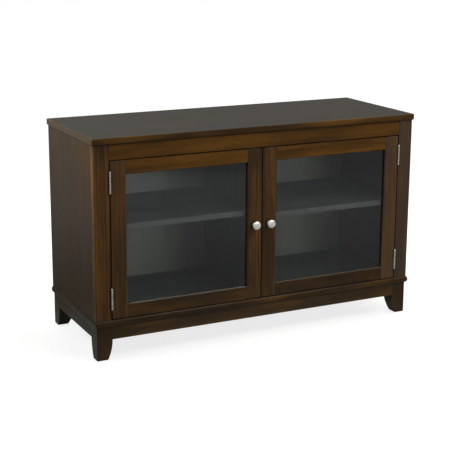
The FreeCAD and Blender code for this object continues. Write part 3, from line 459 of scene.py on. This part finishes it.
class Recipe:
    """Node tree of one material or world, with short calls to add and join nodes."""

    def __init__(self, owner):
        self.owner = owner
        owner.use_nodes = True
        self.tree = owner.node_tree
        self.tree.nodes.clear()

    def add(self, kind, sockets=None, **settings):
        """A node with its settings, and each named socket joined to another or set to a value."""
        node = self.tree.nodes.new(kind)
        for key, value in settings.items():
            setattr(node, key, value)
        for key, value in (sockets or {}).items():
            self.feed(node.inputs[key], value)
        return node

    def feed(self, socket, value):
        """Joins a socket to another, or sets it to a value."""
        if isinstance(value, bpy.types.NodeSocket):
            self.tree.links.new(value, socket)
        elif socket.type == "RGBA" and len(value) == 3:
            socket.default_value = (*value, 1.0)
        else:
            socket.default_value = value

    def math(self, operation, a, b=0.0):
        """Result of one step of arithmetic."""
        node = self.add("ShaderNodeMath", {0: a, 1: b}, operation=operation)
        return node.outputs[0]

    def times(self, a, b):
        """Product of two values."""
        return self.math("MULTIPLY", a, b)

    def weighed(self, values, shares):
        """Sum of named values, each times its share."""
        total = 0.0
        for name, share in shares.items():
            total = self.math("ADD", self.times(values[name], share), total)
        return total

    def vector(self, operation, a, b):
        """Result of one step of vector arithmetic."""
        node = self.add("ShaderNodeVectorMath", {0: a, 1: b}, operation=operation)
        return node.outputs["Value" if operation == "DOT_PRODUCT" else "Vector"]

    def noise(self, vector, scale, detail=2.0, roughness=0.5, distortion=0.0):
        """Noise as a value, then as a colour."""
        return self.add("ShaderNodeTexNoise", {
            "Vector": vector, "Scale": scale, "Detail": detail, "Roughness": roughness,
            "Distortion": distortion}).outputs

    def grain_noise(self, vector, along, across, detail, roughness=0.5):
        """Noise with one scale along the grain and one across it."""
        return self.noise(self.vector("MULTIPLY", vector, (along, across, across)), 1.0, detail, roughness)

    def ranged(self, value, low, high, to_low=0.0, to_high=1.0):
        """Value moved from one range to another, and held within it."""
        return self.add("ShaderNodeMapRange", {
            "Value": value, "From Min": low, "From Max": high,
            "To Min": to_low, "To Max": to_high}).outputs[0]

    def ramp(self, value, places, colors):
        """Colour along a row of colours, each at its place."""
        node = self.add("ShaderNodeValToRGB", {"Fac": value})
        row = node.color_ramp.elements
        while len(row) < len(places):
            row.new(places[-1])
        for element, place, color in zip(row, places, colors):
            element.position = place
            element.color = (*color, 1.0)
        return node.outputs["Color"]

    def tint(self, factor, a, b):
        """Two colours mixed."""
        node = self.add("ShaderNodeMix", {0: factor, MIX_A: a, MIX_B: b}, data_type="RGBA")
        return node.outputs[MIX_RESULT]

    def bump(self, height, strength, distance):
        """Normal of a surface with a relief."""
        return self.add("ShaderNodeBump", {
            "Height": height, "Strength": strength, "Distance": distance}).outputs["Normal"]

    def surface(self, shader):
        """The material, with a shader as its surface."""
        self.add("ShaderNodeOutputMaterial", {"Surface": shader.outputs[0]})
        return self.owner

    def principled(self, sockets):
        """The material, with one principled shader as its surface."""
        return self.surface(self.add("ShaderNodeBsdfPrincipled", sockets))

    def piece_coordinates(self):
        """Coordinates fixed to the piece, moved by a random amount that differs from piece to piece."""
        place = self.add("ShaderNodeTexCoord").outputs["Object"]
        chance = self.add("ShaderNodeObjectInfo").outputs["Random"]
        offset = self.add("ShaderNodeCombineXYZ", {
            axis: self.times(chance, reach) for axis, reach in CHANCE_REACH.items()}).outputs[0]
        return self.vector("ADD", place, offset), chance

    def grain_coordinates(self, axis):
        """Coordinates whose first part runs along the grain."""
        place, chance = self.piece_coordinates()
        parts = self.add("ShaderNodeSeparateXYZ", {"Vector": place}).outputs
        first, second, third = (parts[i] for i in GRAIN_ORDER[axis])
        turned = self.add("ShaderNodeCombineXYZ", {"X": first, "Y": second, "Z": third}).outputs[0]
        return turned, chance

    def facing(self, axis):
        """How far a face looks along an axis of the frame."""
        normal = self.add("ShaderNodeTexCoord").outputs["Normal"]
        return self.add("ShaderNodeSeparateXYZ", {"Vector": normal}).outputs[axis]

    def worn_edges(self, radius, place):
        """Mask of the edges, whole and broken up so that it looks rubbed."""
        rounded = self.add("ShaderNodeBevel", {"Radius": radius}, samples=EDGE_SAMPLES).outputs[0]
        flat = self.add("ShaderNodeNewGeometry").outputs["Normal"]
        sharpness = self.math("SUBTRACT", 1.0, self.vector("DOT_PRODUCT", rounded, flat))
        mask = self.ranged(sharpness, *EDGE_SHARPNESS)
        patches = self.ranged(self.noise(place, *WEAR_NOISE)[0], *WEAR_RANGE)
        return mask, self.times(mask, patches)


def finish(nodes, material):
    """Gives each of some nodes of the frame its only material."""
    for node in nodes:
        data = frame["nodes"][node].data
        data.materials.clear()
        data.materials.append(material)


def new_piece(name, data):
    """A new object in the scene."""
    piece = bpy.data.objects.new(name, data)
    bpy.context.scene.collection.objects.link(piece)
    return piece


def mesh_piece(name, mesh, material):
    """A new object with a mesh and its only material."""
    data = bpy.data.meshes.new(name)
    mesh.to_mesh(data)
    mesh.free()
    data.materials.append(material)
    return new_piece(name, data)


def shaded(color, share):
    """Colour made darker or paler."""
    return tuple(part * share for part in color)


def about(mean, swing):
    """Range that swings about a mean."""
    return tuple(mean + part for part in swing)


def grain_pattern(recipe, axis, ring_spacing, pore_width):
    """Streaks, blotches, flames, rings and pores of a board as values, with its coordinates and chance."""
    grain, chance = recipe.grain_coordinates(axis)
    sway = recipe.grain_noise(grain, *GRAIN_LAYERS["sway"])["Color"]
    sway = recipe.vector("MULTIPLY", recipe.vector("SUBTRACT", sway, (NOISE_MIDDLE,) * 3), SWAY_REACH)
    waved = recipe.vector("ADD", grain, sway)
    pattern = {"place": grain, "chance": chance}
    for layer in ("streaks", "blotches", "flames"):
        pattern[layer] = recipe.grain_noise(waved, *GRAIN_LAYERS[layer])[0]
    ring_place = recipe.vector("MULTIPLY", waved, RING_STRETCH)
    rings = recipe.add("ShaderNodeTexWave", {
        "Vector": ring_place, "Scale": RING_SCALE / ring_spacing, **RING_WAVES}, bands_direction="Y")
    pattern["rings"] = rings.outputs[1]
    pores = recipe.grain_noise(waved, PORE_ALONG, 1.0 / pore_width, PORE_DETAIL)[0]
    pores = recipe.ranged(pores, *PORE_RANGE)
    pattern["pores"] = recipe.times(pores, recipe.ranged(pattern["rings"], *PORES_BY_RING))
    return pattern


def stained_wood(name, stain, wood, glaze):
    """Dark lacquered wood with figure, pores, rubbed edges, painted top sheen and painted shade. A higher
    tone shows more amber.
    """
    recipe = Recipe(bpy.data.materials.new(name))
    pattern = grain_pattern(recipe, stain.axis, wood.ring_spacing, wood.pore_width)
    shares = {part: share * stain.figure for part, share in FIGURE_SHARES.items()}
    level = MEAN_DEPTH + stain.tone - sum(shares.values()) * NOISE_MIDDLE
    board = recipe.ranged(pattern["chance"], 0.0, 1.0, level - BOARD_SPREAD / 2, level + BOARD_SPREAD / 2)
    depth = recipe.math("ADD", recipe.weighed(pattern, shares), board)
    color = recipe.ramp(depth, STAIN_STOPS, (wood.deep_stain, wood.main_stain, wood.amber_stain))
    color = recipe.tint(recipe.times(pattern["pores"], PORE_STAIN), color, wood.deep_stain)
    # Painted sheen: faces that look up take the colour of the glaze argument, which stands for the light on
    # them
    painted_upward_light = recipe.ranged(recipe.facing("Z"), *SQUARE_ON, 0.0, wood.painted_top_sheen_share)
    color = recipe.tint(painted_upward_light, color, glaze)
    edges, wear = recipe.worn_edges(wood.edge_radius, pattern["place"])
    # Painted shade: the dark glaze on edges also stands for the shade at the edges of gaps
    dark_edge_glaze_and_shade = recipe.times(edges, EDGE_GLAZE_AND_SHADE_SHARE * (1.0 - stain.rubbed))
    color = recipe.tint(dark_edge_glaze_and_shade, color, wood.edge_glaze_and_gap_shade)
    color = recipe.tint(recipe.times(wear, stain.rubbed), color, wood.worn_edge_and_highlight)
    endways = recipe.math("ABSOLUTE", recipe.facing(stain.axis))
    color = recipe.tint(recipe.ranged(endways, *SQUARE_ON, 0.0, wood.end_tone), color, wood.end_grain)
    # Painted shade: ambient occlusion darkens places that nearby faces close in, such as the gaps between
    # parts
    openness = recipe.add("ShaderNodeAmbientOcclusion", {"Distance": wood.gap_shade_reach}, samples=GAP_SAMPLES)
    gaps = recipe.ranged(openness.outputs["AO"], *GAP_SHADE_OPENNESS, 1.0, 0.0)
    color = recipe.tint(gaps, color, wood.edge_glaze_and_gap_shade)
    lacquer = recipe.ranged(pattern["blotches"], *NOISE_RANGE, *about(wood.roughness, LACQUER_SWING))
    rough = recipe.math("ADD", lacquer, recipe.times(pattern["pores"], PORE_ROUGHNESS))
    raised = recipe.times(pattern["streaks"], STREAK_RELIEF)
    relief = recipe.math("SUBTRACT", raised, pattern["pores"])
    return recipe.principled({
        "Base Color": color, "Roughness": rough, "Specular IOR Level": stain.gloss,
        "Normal": recipe.bump(relief, *WOOD_BUMP)})


def inner_board(name, axis, inside, colors, lipped=False):
    """Flat dark finish of the boards inside the case. A lipped board has a painted highlight on its front
    edge.
    """
    recipe = Recipe(bpy.data.materials.new(name))
    pattern = grain_pattern(recipe, axis, INNER_RINGS, INNER_PORES)
    color = recipe.ramp(recipe.weighed(pattern, INNER_SHARES), INNER_STOPS, colors)
    color = recipe.tint(recipe.times(pattern["pores"], INNER_PORE_STAIN), color, colors[0])
    if lipped:
        # Painted highlight on the front edge of a shelf
        front = recipe.ranged(recipe.facing("Y"), *LIP_FACING, 0.0, LIP_HIGHLIGHT_SHARE)
        color = recipe.tint(front, color, inside.worn_edge_and_shelf_highlight)
    _, wear = recipe.worn_edges(INNER_WEAR_RADIUS, pattern["place"])
    color = recipe.tint(recipe.times(wear, INNER_WEAR_SHARE), color, inside.worn_edge_and_shelf_highlight)
    rough = recipe.ranged(pattern["blotches"], *NOISE_RANGE, *about(inside.roughness, INNER_SWING))
    raised = recipe.times(pattern["streaks"], INNER_RELIEF)
    relief = recipe.math("SUBTRACT", raised, pattern["pores"])
    return recipe.principled({
        "Base Color": color, "Roughness": rough, "Specular IOR Level": INNER_GLOSS,
        "Normal": recipe.bump(relief, *INNER_BUMP)})


def back_board(inside, shade):
    """Hardboard with a painted inner face and a bare, fibrous outer face."""
    recipe = Recipe(bpy.data.materials.new(f"Back Board {shade:.2f}"))
    pattern = grain_pattern(recipe, "Z", INNER_RINGS, INNER_PORES)
    # The shade argument darkens the paint as painted shade in the bay
    paints = [shaded(inside.back_color, shade * part) for part in PAINT_SHADES]
    painted = recipe.ramp(recipe.weighed(pattern, INNER_SHARES), INNER_STOPS, paints)
    fibers = recipe.noise(pattern["place"], *FIBER_NOISE)[0]
    clouds = recipe.noise(pattern["place"], *CLOUD_NOISE)[0]
    mottle = recipe.weighed({"fibers": fibers, "clouds": clouds}, MOTTLE_SHARES)
    pressed = recipe.ramp(mottle, BARE_STOPS, [shaded(inside.bare_color, part) for part in BARE_SHADES])
    outer = recipe.ranged(recipe.facing("Y"), *BARE_FACING)
    rough = recipe.math("ADD", recipe.ranged(outer, 0.0, 1.0, inside.roughness, BARE_ROUGHNESS),
                        recipe.ranged(fibers, *NOISE_RANGE, *FIBER_SWING))
    return recipe.principled({
        "Base Color": recipe.tint(outer, painted, pressed), "Roughness": rough,
        "Specular IOR Level": INNER_GLOSS,
        "Normal": recipe.bump(recipe.times(fibers, outer), *FIBER_BUMP)})


def pane_glass(glass):
    """Clear pane with faint wiping marks, which lets lamplight through to the shelves."""
    recipe = Recipe(bpy.data.materials.new("Clear Pane"))
    place, _ = recipe.piece_coordinates()
    stretched = recipe.vector("MULTIPLY", place, SMEAR_STRETCH)
    smears = recipe.noise(stretched, 1.0 / glass.smear_size, *SMEAR_NOISE)[0]
    pane = recipe.add("ShaderNodeBsdfPrincipled", {
        "Base Color": glass.tint, "Roughness": recipe.ranged(smears, *SMEAR_DULLNESS), "IOR": glass.index,
        "Transmission Weight": 1.0})
    clear = recipe.add("ShaderNodeBsdfTransparent", {"Color": glass.tint})
    shadow = recipe.add("ShaderNodeLightPath").outputs["Is Shadow Ray"]
    return recipe.surface(recipe.add("ShaderNodeMixShader", {
        0: shadow, 1: pane.outputs[0], 2: clear.outputs[0]}))


def plated_metal(name, color):
    """Plated metal with clouded polish, fine scratches and a little tarnish."""
    metal = METALS[name]
    recipe = Recipe(bpy.data.materials.new(name))
    place, _ = recipe.piece_coordinates()
    polish = recipe.noise(place, *POLISH_NOISE)[0]
    stretched = recipe.vector("MULTIPLY", place, SCRATCH_STRETCH)
    scratches = recipe.noise(stretched, metal.scratch_scale, *SCRATCH_NOISE)[0]
    tarnish = recipe.ranged(recipe.noise(place, *TARNISH_NOISE)[0], *TARNISH_SPREAD)
    rough = recipe.math("ADD", recipe.ranged(polish, *NOISE_RANGE, metal.smooth, metal.rough),
                        recipe.ranged(scratches, *SCRATCH_DULLNESS))
    return recipe.principled({
        "Base Color": recipe.tint(tarnish, color, shaded(color, TARNISH_SHADE)), "Metallic": metal.metallic,
        "Roughness": rough, "Normal": recipe.bump(scratches, SCRATCH_BUMP, metal.scratch_depth)})


def moulded_plastic(color):
    """Matte plastic with a fine spark texture and scuffs."""
    recipe = Recipe(bpy.data.materials.new("Moulded Plastic"))
    place, _ = recipe.piece_coordinates()
    spark = recipe.noise(place, *SPARK_NOISE)[0]
    scuffs = recipe.ranged(recipe.noise(place, *SCUFF_NOISE)[0], *SCUFF_RANGE)
    return recipe.principled({
        "Base Color": recipe.tint(scuffs, color, shaded(color, SCUFF_SHADE)),
        "Roughness": recipe.ranged(spark, *NOISE_RANGE, *SPARK_ROUGHNESS),
        "Specular IOR Level": PLASTIC_GLOSS, "Normal": recipe.bump(spark, *SPARK_BUMP)})


def dull_magnet(color):
    """Sintered magnet face: grey, grainy and slightly chipped at the edges."""
    recipe = Recipe(bpy.data.materials.new("Dull Magnet"))
    place, _ = recipe.piece_coordinates()
    grains = recipe.noise(place, *MAGNET_NOISE)[0]
    _, chips = recipe.worn_edges(CHIP_RADIUS, recipe.vector("MULTIPLY", place, CHIP_SCALE))
    pale = shaded(color, MAGNET_SHADE)
    base = recipe.tint(recipe.ranged(grains, *MAGNET_GRAINS), color, pale)
    return recipe.principled({
        "Base Color": recipe.tint(chips, base, pale), "Metallic": MAGNET_METALLIC,
        "Roughness": recipe.ranged(grains, *NOISE_RANGE, *MAGNET_ROUGHNESS),
        "Normal": recipe.bump(grains, *MAGNET_BUMP)})


def loose_parts(data):
    """Points of each separate solid in a node's mesh."""
    owner = list(range(len(data.vertices)))

    def chief(index):
        """Point that stands for all the points joined to one."""
        while owner[index] != index:
            owner[index] = owner[owner[index]]
            index = owner[index]
        return index

    seen = {}
    for vertex in data.vertices:
        key = tuple(round(part, JOIN_DIGITS) for part in vertex.co)
        if key in seen:
            owner[chief(vertex.index)] = chief(seen[key])
        else:
            seen[key] = vertex.index
    for edge in data.edges:
        a, b = (chief(index) for index in edge.vertices)
        owner[a] = b
    groups = {}
    for vertex in data.vertices:
        groups.setdefault(chief(vertex.index), []).append(vertex.co.copy())
    return list(groups.values())


def screw_sizes(points):
    """Sizes of one plain screw of the frame: its head end, the way it points, its radii and lengths."""
    low = Vector([min(point[i] for point in points) for i in range(3)])
    high = Vector([max(point[i] for point in points) for i in range(3)])
    size = high - low
    axis = max(range(3), key=lambda i: size[i])
    middle = (low + high) / 2

    def radius(point):
        """Distance of a point from the screw's axis."""
        across = point - middle
        across[axis] = 0.0
        return across.length

    def end(place):
        """Radius at one end of the screw, with the place of that end."""
        near = [point for point in points if abs(point[axis] - place) < size[axis] * END_SHARE]
        return max(radius(point) for point in near), place

    (shank, tip), (_, head) = sorted([end(low[axis]), end(high[axis])])
    widest = max(radius(point) for point in points)
    rim = [point[axis] for point in points if radius(point) > widest * RIM_SHARE]
    start = middle.copy()
    start[axis] = head
    direction = Vector((0, 0, 0))
    direction[axis] = 1.0 if tip > head else -1.0
    return {"head": start, "direction": direction, "shank": shank, "rim": widest,
            "proud": min(abs(head - place) for place in rim), "length": abs(tip - head)}


def screw_outline(sizes):
    """Radius and depth of each ring of a cross screw, from its tip to the flat of its head."""
    rim, shank, proud, length = sizes["rim"], sizes["shank"], sizes["proud"], sizes["length"]
    outline = [(shank * TIP_RADIUS, length), (shank, length - shank * TIP_LENGTH)]
    if proud > 0:
        outline.append((shank, proud))
        return outline + [(rim * across, proud * down) for across, down in ROUND_PROFILE]
    outline.append((shank, rim - shank))
    return outline + [(rim * across, rim * down) for across, down in SUNK_PROFILE]


def loop_edges(mesh, loop):
    """Edges round a closed row of points."""
    pairs = zip(loop, loop[1:] + loop[:1])
    return [mesh.edges.get(pair) or mesh.edges.new(pair) for pair in pairs]


def add_cross_screw(mesh, sizes, sides, recess_share):
    """Adds a screw whose head has a cross recess, in the space of the plain screw that it stands for."""
    outline = screw_outline(sizes)
    turn = sizes["direction"].to_track_quat("Z", "Y").to_matrix().to_4x4()
    placed = Matrix.Translation(sizes["head"]) @ turn
    angles = [2 * math.pi * step / sides for step in range(sides)]
    rings = []
    for radius, depth in outline:
        places = [Vector((radius * math.cos(angle), radius * math.sin(angle), depth)) for angle in angles]
        rings.append([mesh.verts.new(placed @ place) for place in places])
    mesh.faces.new(rings[0])
    for lower, upper in zip(rings, rings[1:]):
        for step in range(sides):
            after = (step + 1) % sides
            mesh.faces.new((lower[step], upper[step], upper[after], lower[after]))

    rim = sizes["rim"]
    arm = rim * recess_share
    half = arm * RECESS_WIDTH
    corners = [(arm, half), (half, half), (half, arm), (-half, arm), (-half, half), (-arm, half),
               (-arm, -half), (-half, -half), (-half, -arm), (half, -arm), (half, -half), (arm, -half)]
    top_depth = outline[-1][1]
    floor_depth = top_depth + rim * RECESS_DEPTH
    taper_x, taper_y = RECESS_TAPER
    mouth = [mesh.verts.new(placed @ Vector((x, y, top_depth))) for x, y in corners]
    floor = [mesh.verts.new(placed @ Vector((x * taper_x, y * taper_y, floor_depth))) for x, y in corners]
    for step in range(len(corners)):
        after = (step + 1) % len(corners)
        mesh.faces.new((mouth[step], mouth[after], floor[after], floor[step]))
    mesh.faces.new(floor)
    borders = [edge for loop in (rings[-1], mouth) for edge in loop_edges(mesh, loop)]
    bmesh.ops.triangle_fill(mesh, use_beauty=True, edges=borders)


def body_of_node(node):
    """Name of the body that a node belongs to."""
    for body, members in frame["record"]["behaviour"]["bodies"].items():
        if node in members:
            return body
    raise RuntimeError(f"no body holds {node}")


def cross_screws(node, material, fittings):
    """Screws with cross recesses in place of a group of plain ones."""
    mesh = bmesh.new()
    for points in loose_parts(frame["nodes"][node].data):
        add_cross_screw(mesh, screw_sizes(points), fittings.head_sides, fittings.recess_share)
    bmesh.ops.recalc_face_normals(mesh, faces=mesh.faces)
    piece = mesh_piece(node + "_cross", mesh, material)
    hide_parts(node)
    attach(piece, body_of_node(node))


class CONSOLE_OT_outer_wood(bpy.types.Operator):
    """Stain and lacquer the case, the base and the door frames"""
    bl_idname = "console.outer_wood"
    bl_label = "Outer Wood"

    def execute(self, context):
        wood = context.scene.console.wood
        for stain in STAINED:
            name = f"Espresso {stain.axis} {stain.tone:+.2f}"
            finish(stain.nodes, stained_wood(name, stain, wood, wood.painted_top_sheen))
        # Lower door rails: their faces that look up take the painted top sheen mixed with a painted highlight
        # on the lip
        for node, share in LIP_HIGHLIGHT_SHARES.items():
            glaze = Vector(wood.painted_top_sheen).lerp(Vector(wood.painted_lip_highlight), share)
            finish([node], stained_wood(f"Espresso Lipped {share:.2f}", LIPPED_STAIN, wood, glaze))
        return {"FINISHED"}


class CONSOLE_OT_inner_boards(bpy.types.Operator):
    """Finish the divider, the bottom, the shelves and the hidden strips"""
    bl_idname = "console.inner_boards"
    bl_label = "Inner Boards"

    def execute(self, context):
        inside = context.scene.console.inside
        colors = (inside.deep_color, inside.main_color, inside.pale_color)
        finish(INNER_LENGTHWISE, inner_board("Inner Lengthwise", "X", inside, colors))
        finish(INNER_UPRIGHT, inner_board("Inner Upright", "Z", inside, colors))
        shelf_colors = [shaded(color, inside.shelf_tone) for color in colors]
        # Shelves: darker than the other inner boards, with a painted highlight on their front edges
        finish(SHELVES, inner_board("Inner Lipped", "X", inside, shelf_colors, lipped=True))
        return {"FINISHED"}


class CONSOLE_OT_back_panels(bpy.types.Operator):
    """Finish the thin back panels: painted inside, bare hardboard outside"""
    bl_idname = "console.back_panels"
    bl_label = "Back Panels"

    def execute(self, context):
        inside = context.scene.console.inside
        # The right panel's darker paint is painted shade in the right bay
        for node, shade in BACK_PAINT_AND_BAY_SHADE.items():
            finish([node], back_board(inside, shade))
        return {"FINISHED"}


class CONSOLE_OT_door_glass(bpy.types.Operator):
    """Glaze both doors"""
    bl_idname = "console.door_glass"
    bl_label = "Door Glass"

    def execute(self, context):
        finish(door_nodes("glass"), pane_glass(context.scene.console.glass))
        return {"FINISHED"}


class CONSOLE_OT_knobs_and_hinges(bpy.types.Operator):
    """Plate the hinges with satin nickel and the knobs with frosted nickel"""
    bl_idname = "console.knobs_and_hinges"
    bl_label = "Knobs and Hinges"

    def execute(self, context):
        color = context.scene.console.fittings.nickel
        finish(HINGES, plated_metal("Satin Nickel", color))
        finish(door_nodes("knob"), plated_metal("Frosted Nickel", color))
        return {"FINISHED"}


class CONSOLE_OT_pins_and_strikes(bpy.types.Operator):
    """Plate the shelf pins and the strike plates with zinc"""
    bl_idname = "console.pins_and_strikes"
    bl_label = "Shelf Pins and Strike Plates"

    def execute(self, context):
        finish(PINS_AND_STRIKES, plated_metal("Zinc Plate", context.scene.console.fittings.zinc))
        return {"FINISHED"}


class CONSOLE_OT_screws(bpy.types.Operator):
    """Put screws with cross recesses in place of the plain ones"""
    bl_idname = "console.screws"
    bl_label = "Screws"

    def execute(self, context):
        fittings = context.scene.console.fittings
        zinc = plated_metal("Zinc Screw", fittings.zinc)
        nickel = plated_metal("Nickel Screw", fittings.nickel)
        for node in SCREW_GROUPS:
            cross_screws(node, nickel if "hinge" in node else zinc, fittings)
        return {"FINISHED"}


class CONSOLE_OT_catches_and_glides(bpy.types.Operator):
    """Finish the catch housings, their magnets and the floor glides"""
    bl_idname = "console.catches_and_glides"
    bl_label = "Catches and Glides"

    def execute(self, context):
        fittings = context.scene.console.fittings
        finish(["catch_housings", "floor_glides"], moulded_plastic(fittings.plastic))
        finish(["catch_magnets"], dull_magnet(fittings.magnet))
        return {"FINISHED"}


def straight_rays(recipe, path):
    """One for rays that come straight from the camera, also through glass, with no reflection before."""
    bounces = recipe.math("ADD", path["Diffuse Depth"], path["Glossy Depth"])
    first = recipe.math("LESS_THAN", bounces, NO_DEPTH)
    through = recipe.times(path["Is Transmission Ray"], first)
    return recipe.math("MAXIMUM", path["Is Camera Ray"], through)


def mirrored_rays(recipe, path, straight):
    """One for rays that come from the camera by way of reflections alone."""
    other = recipe.math("SUBTRACT", 1.0, straight)
    return recipe.times(other, recipe.math("LESS_THAN", path["Diffuse Depth"], NO_DEPTH))


def floor_finish(studio):
    """Floor that the camera sees as white with a shadow, and that is dimmer in reflections."""
    recipe = Recipe(bpy.data.materials.new("Pale Floor"))
    place = recipe.add("ShaderNodeTexCoord").outputs["Object"]
    path = recipe.add("ShaderNodeLightPath").outputs
    straight = straight_rays(recipe, path)
    mirrored = mirrored_rays(recipe, path, straight)
    oval = recipe.vector("MULTIPLY", place, FLOOR_OVAL)
    distance = recipe.add("ShaderNodeVectorMath", {0: oval}, operation="LENGTH").outputs["Value"]
    depth = recipe.add("ShaderNodeSeparateXYZ", {"Vector": place}).outputs["Y"]

    speckle = recipe.ranged(recipe.noise(place, *SPECKLE_NOISE)[0], *NOISE_RANGE)
    seen = recipe.tint(speckle, shaded(studio.floor_color, SPECKLE_SHADE), studio.floor_color)
    away = recipe.ranged(distance, *NEAR_BOUNCE_REACH)
    bounce = recipe.tint(away, studio.near_bounce_color, studio.bounce_color)
    matte = recipe.add("ShaderNodeBsdfDiffuse", {"Color": recipe.tint(straight, bounce, seen)})

    white_to = studio.white_from * WHITE_REACH
    white = recipe.ranged(distance, studio.white_from, white_to, studio.floor_glow, 1.0)
    backdrop = recipe.ranged(depth, *BACKDROP_REACH, studio.front_glow, studio.backdrop_glow)
    backdrop = recipe.times(backdrop, recipe.ranged(distance, *MIRRORED_SHADE))
    strength = recipe.math("ADD", recipe.times(straight, white),
                           recipe.times(mirrored, backdrop))
    glow = recipe.add("ShaderNodeEmission", {"Color": WHITE, "Strength": strength})
    return recipe.surface(recipe.add("ShaderNodeAddShader", {0: matte.outputs[0], 1: glow.outputs[0]}))


def pale_floor(studio):
    """Floor under the console."""
    mesh = bmesh.new()
    bmesh.ops.create_grid(mesh, x_segments=FLOOR_CELLS, y_segments=FLOOR_CELLS, size=studio.floor_size / 2)
    floor = mesh_piece("studio_floor", mesh, floor_finish(studio))


def white_surround(studio):
    """World that is seen as white and lights the console evenly."""
    world = bpy.data.worlds.new("Studio")
    bpy.context.scene.world = world
    recipe = Recipe(world)
    path = recipe.add("ShaderNodeLightPath").outputs
    straight = straight_rays(recipe, path)
    mirrored = mirrored_rays(recipe, path, straight)
    direction = recipe.add("ShaderNodeTexCoord").outputs["Generated"]
    height = recipe.add("ShaderNodeSeparateXYZ", {"Vector": direction}).outputs["Z"]
    gloss = recipe.ranged(height, *CEILING_START, studio.sky_gloss, studio.ceiling_gloss)
    strength = recipe.math("ADD", recipe.times(mirrored, gloss),
                           recipe.ranged(mirrored, 0.0, 1.0, studio.sky_strength, 0.0))
    light = recipe.add("ShaderNodeBackground", {"Color": SKY_COLOR, "Strength": strength})
    white = recipe.add("ShaderNodeBackground", {"Color": WHITE, "Strength": 1.0})
    mixed = recipe.add("ShaderNodeMixShader", {0: straight, 1: light.outputs[0], 2: white.outputs[0]})
    recipe.add("ShaderNodeOutputWorld", {"Surface": mixed.outputs[0]})


def soft_lamp(name, lamp, power):
    """Rectangular lamp turned towards a point."""
    data = bpy.data.lights.new(name, "AREA")
    data.shape = "RECTANGLE"
    data.size, data.size_y = lamp.size
    data.energy = power
    data.spread = math.radians(lamp.spread)
    data.color = lamp.color
    piece = new_piece(name, data)
    piece.location = lamp.place
    piece.rotation_euler = (Vector(lamp.target) - Vector(lamp.place)).to_track_quat("-Z", "Y").to_euler()
    piece.visible_glossy = lamp.mirrored


def photo_camera(studio):
    """Camera that looks at the console from the front left."""
    data = bpy.data.cameras.new("studio_camera")
    data.sensor_fit = "HORIZONTAL"
    data.sensor_width = SENSOR_WIDTH
    data.lens = studio.lens
    data.shift_y = studio.camera_shift
    data.clip_end = CLIP_END
    camera = new_piece("studio_camera", data)
    heading, tilt, roll = studio.camera_turn
    turn = Matrix.Rotation(heading, 4, "Z") @ Matrix.Rotation(math.pi / 2 - tilt, 4, "X")
    turn = turn @ Matrix.Rotation(roll, 4, "Z")
    camera.matrix_world = Matrix.Translation(studio.camera_place) @ turn
    bpy.context.scene.camera = camera


class CONSOLE_OT_studio(bpy.types.Operator):
    """Lay the floor, hang the lamps and set up the camera"""
    bl_idname = "console.studio"
    bl_label = "Studio"

    def execute(self, context):
        studio = context.scene.console.studio
        context.scene.view_settings.view_transform = "Standard"
        pale_floor(studio)
        white_surround(studio)
        for name, lamp in LAMPS.items():
            soft_lamp(name, lamp, getattr(studio, lamp.power))
        photo_camera(studio)
        return {"FINISHED"}


OPERATORS = (
    CONSOLE_OT_outer_wood, CONSOLE_OT_inner_boards, CONSOLE_OT_back_panels, CONSOLE_OT_door_glass,
    CONSOLE_OT_knobs_and_hinges, CONSOLE_OT_pins_and_strikes, CONSOLE_OT_screws,
    CONSOLE_OT_catches_and_glides, CONSOLE_OT_studio,
)
SETTINGS = (WoodSettings, InsideSettings, GlassSettings, FittingSettings, StudioSettings, ConsoleSettings)


class CONSOLE_PT_finishes(bpy.types.Panel):
    """Settings and steps of the console"""
    bl_idname = "CONSOLE_PT_finishes"
    bl_label = "Media Console"
    bl_space_type = "VIEW_3D"
    bl_region_type = "UI"
    bl_category = "Console"

    def draw(self, context):
        layout = self.layout
        settings = context.scene.console
        for part in ("wood", "inside", "glass", "fittings", "studio"):
            group = getattr(settings, part)
            column = layout.column(heading=part.title())
            for name in group.__annotations__:
                column.prop(group, name)
        for operator in OPERATORS:
            layout.operator(operator.bl_idname)


CLASSES = SETTINGS + OPERATORS + (CONSOLE_PT_finishes,)


def register():
    """Makes the settings, the steps and the panel known."""
    for cls in CLASSES:
        bpy.utils.register_class(cls)
    bpy.types.Scene.console = PointerProperty(type=ConsoleSettings)


def unregister():
    """Takes the settings, the steps and the panel away."""
    del bpy.types.Scene.console
    for cls in reversed(CLASSES):
        bpy.utils.unregister_class(cls)


def main():
    """Runs every step."""
    register()
    for operator in OPERATORS:
        group, name = operator.bl_idname.split(".")
        getattr(getattr(bpy.ops, group), name)()


if __name__ == "__main__":
    main()
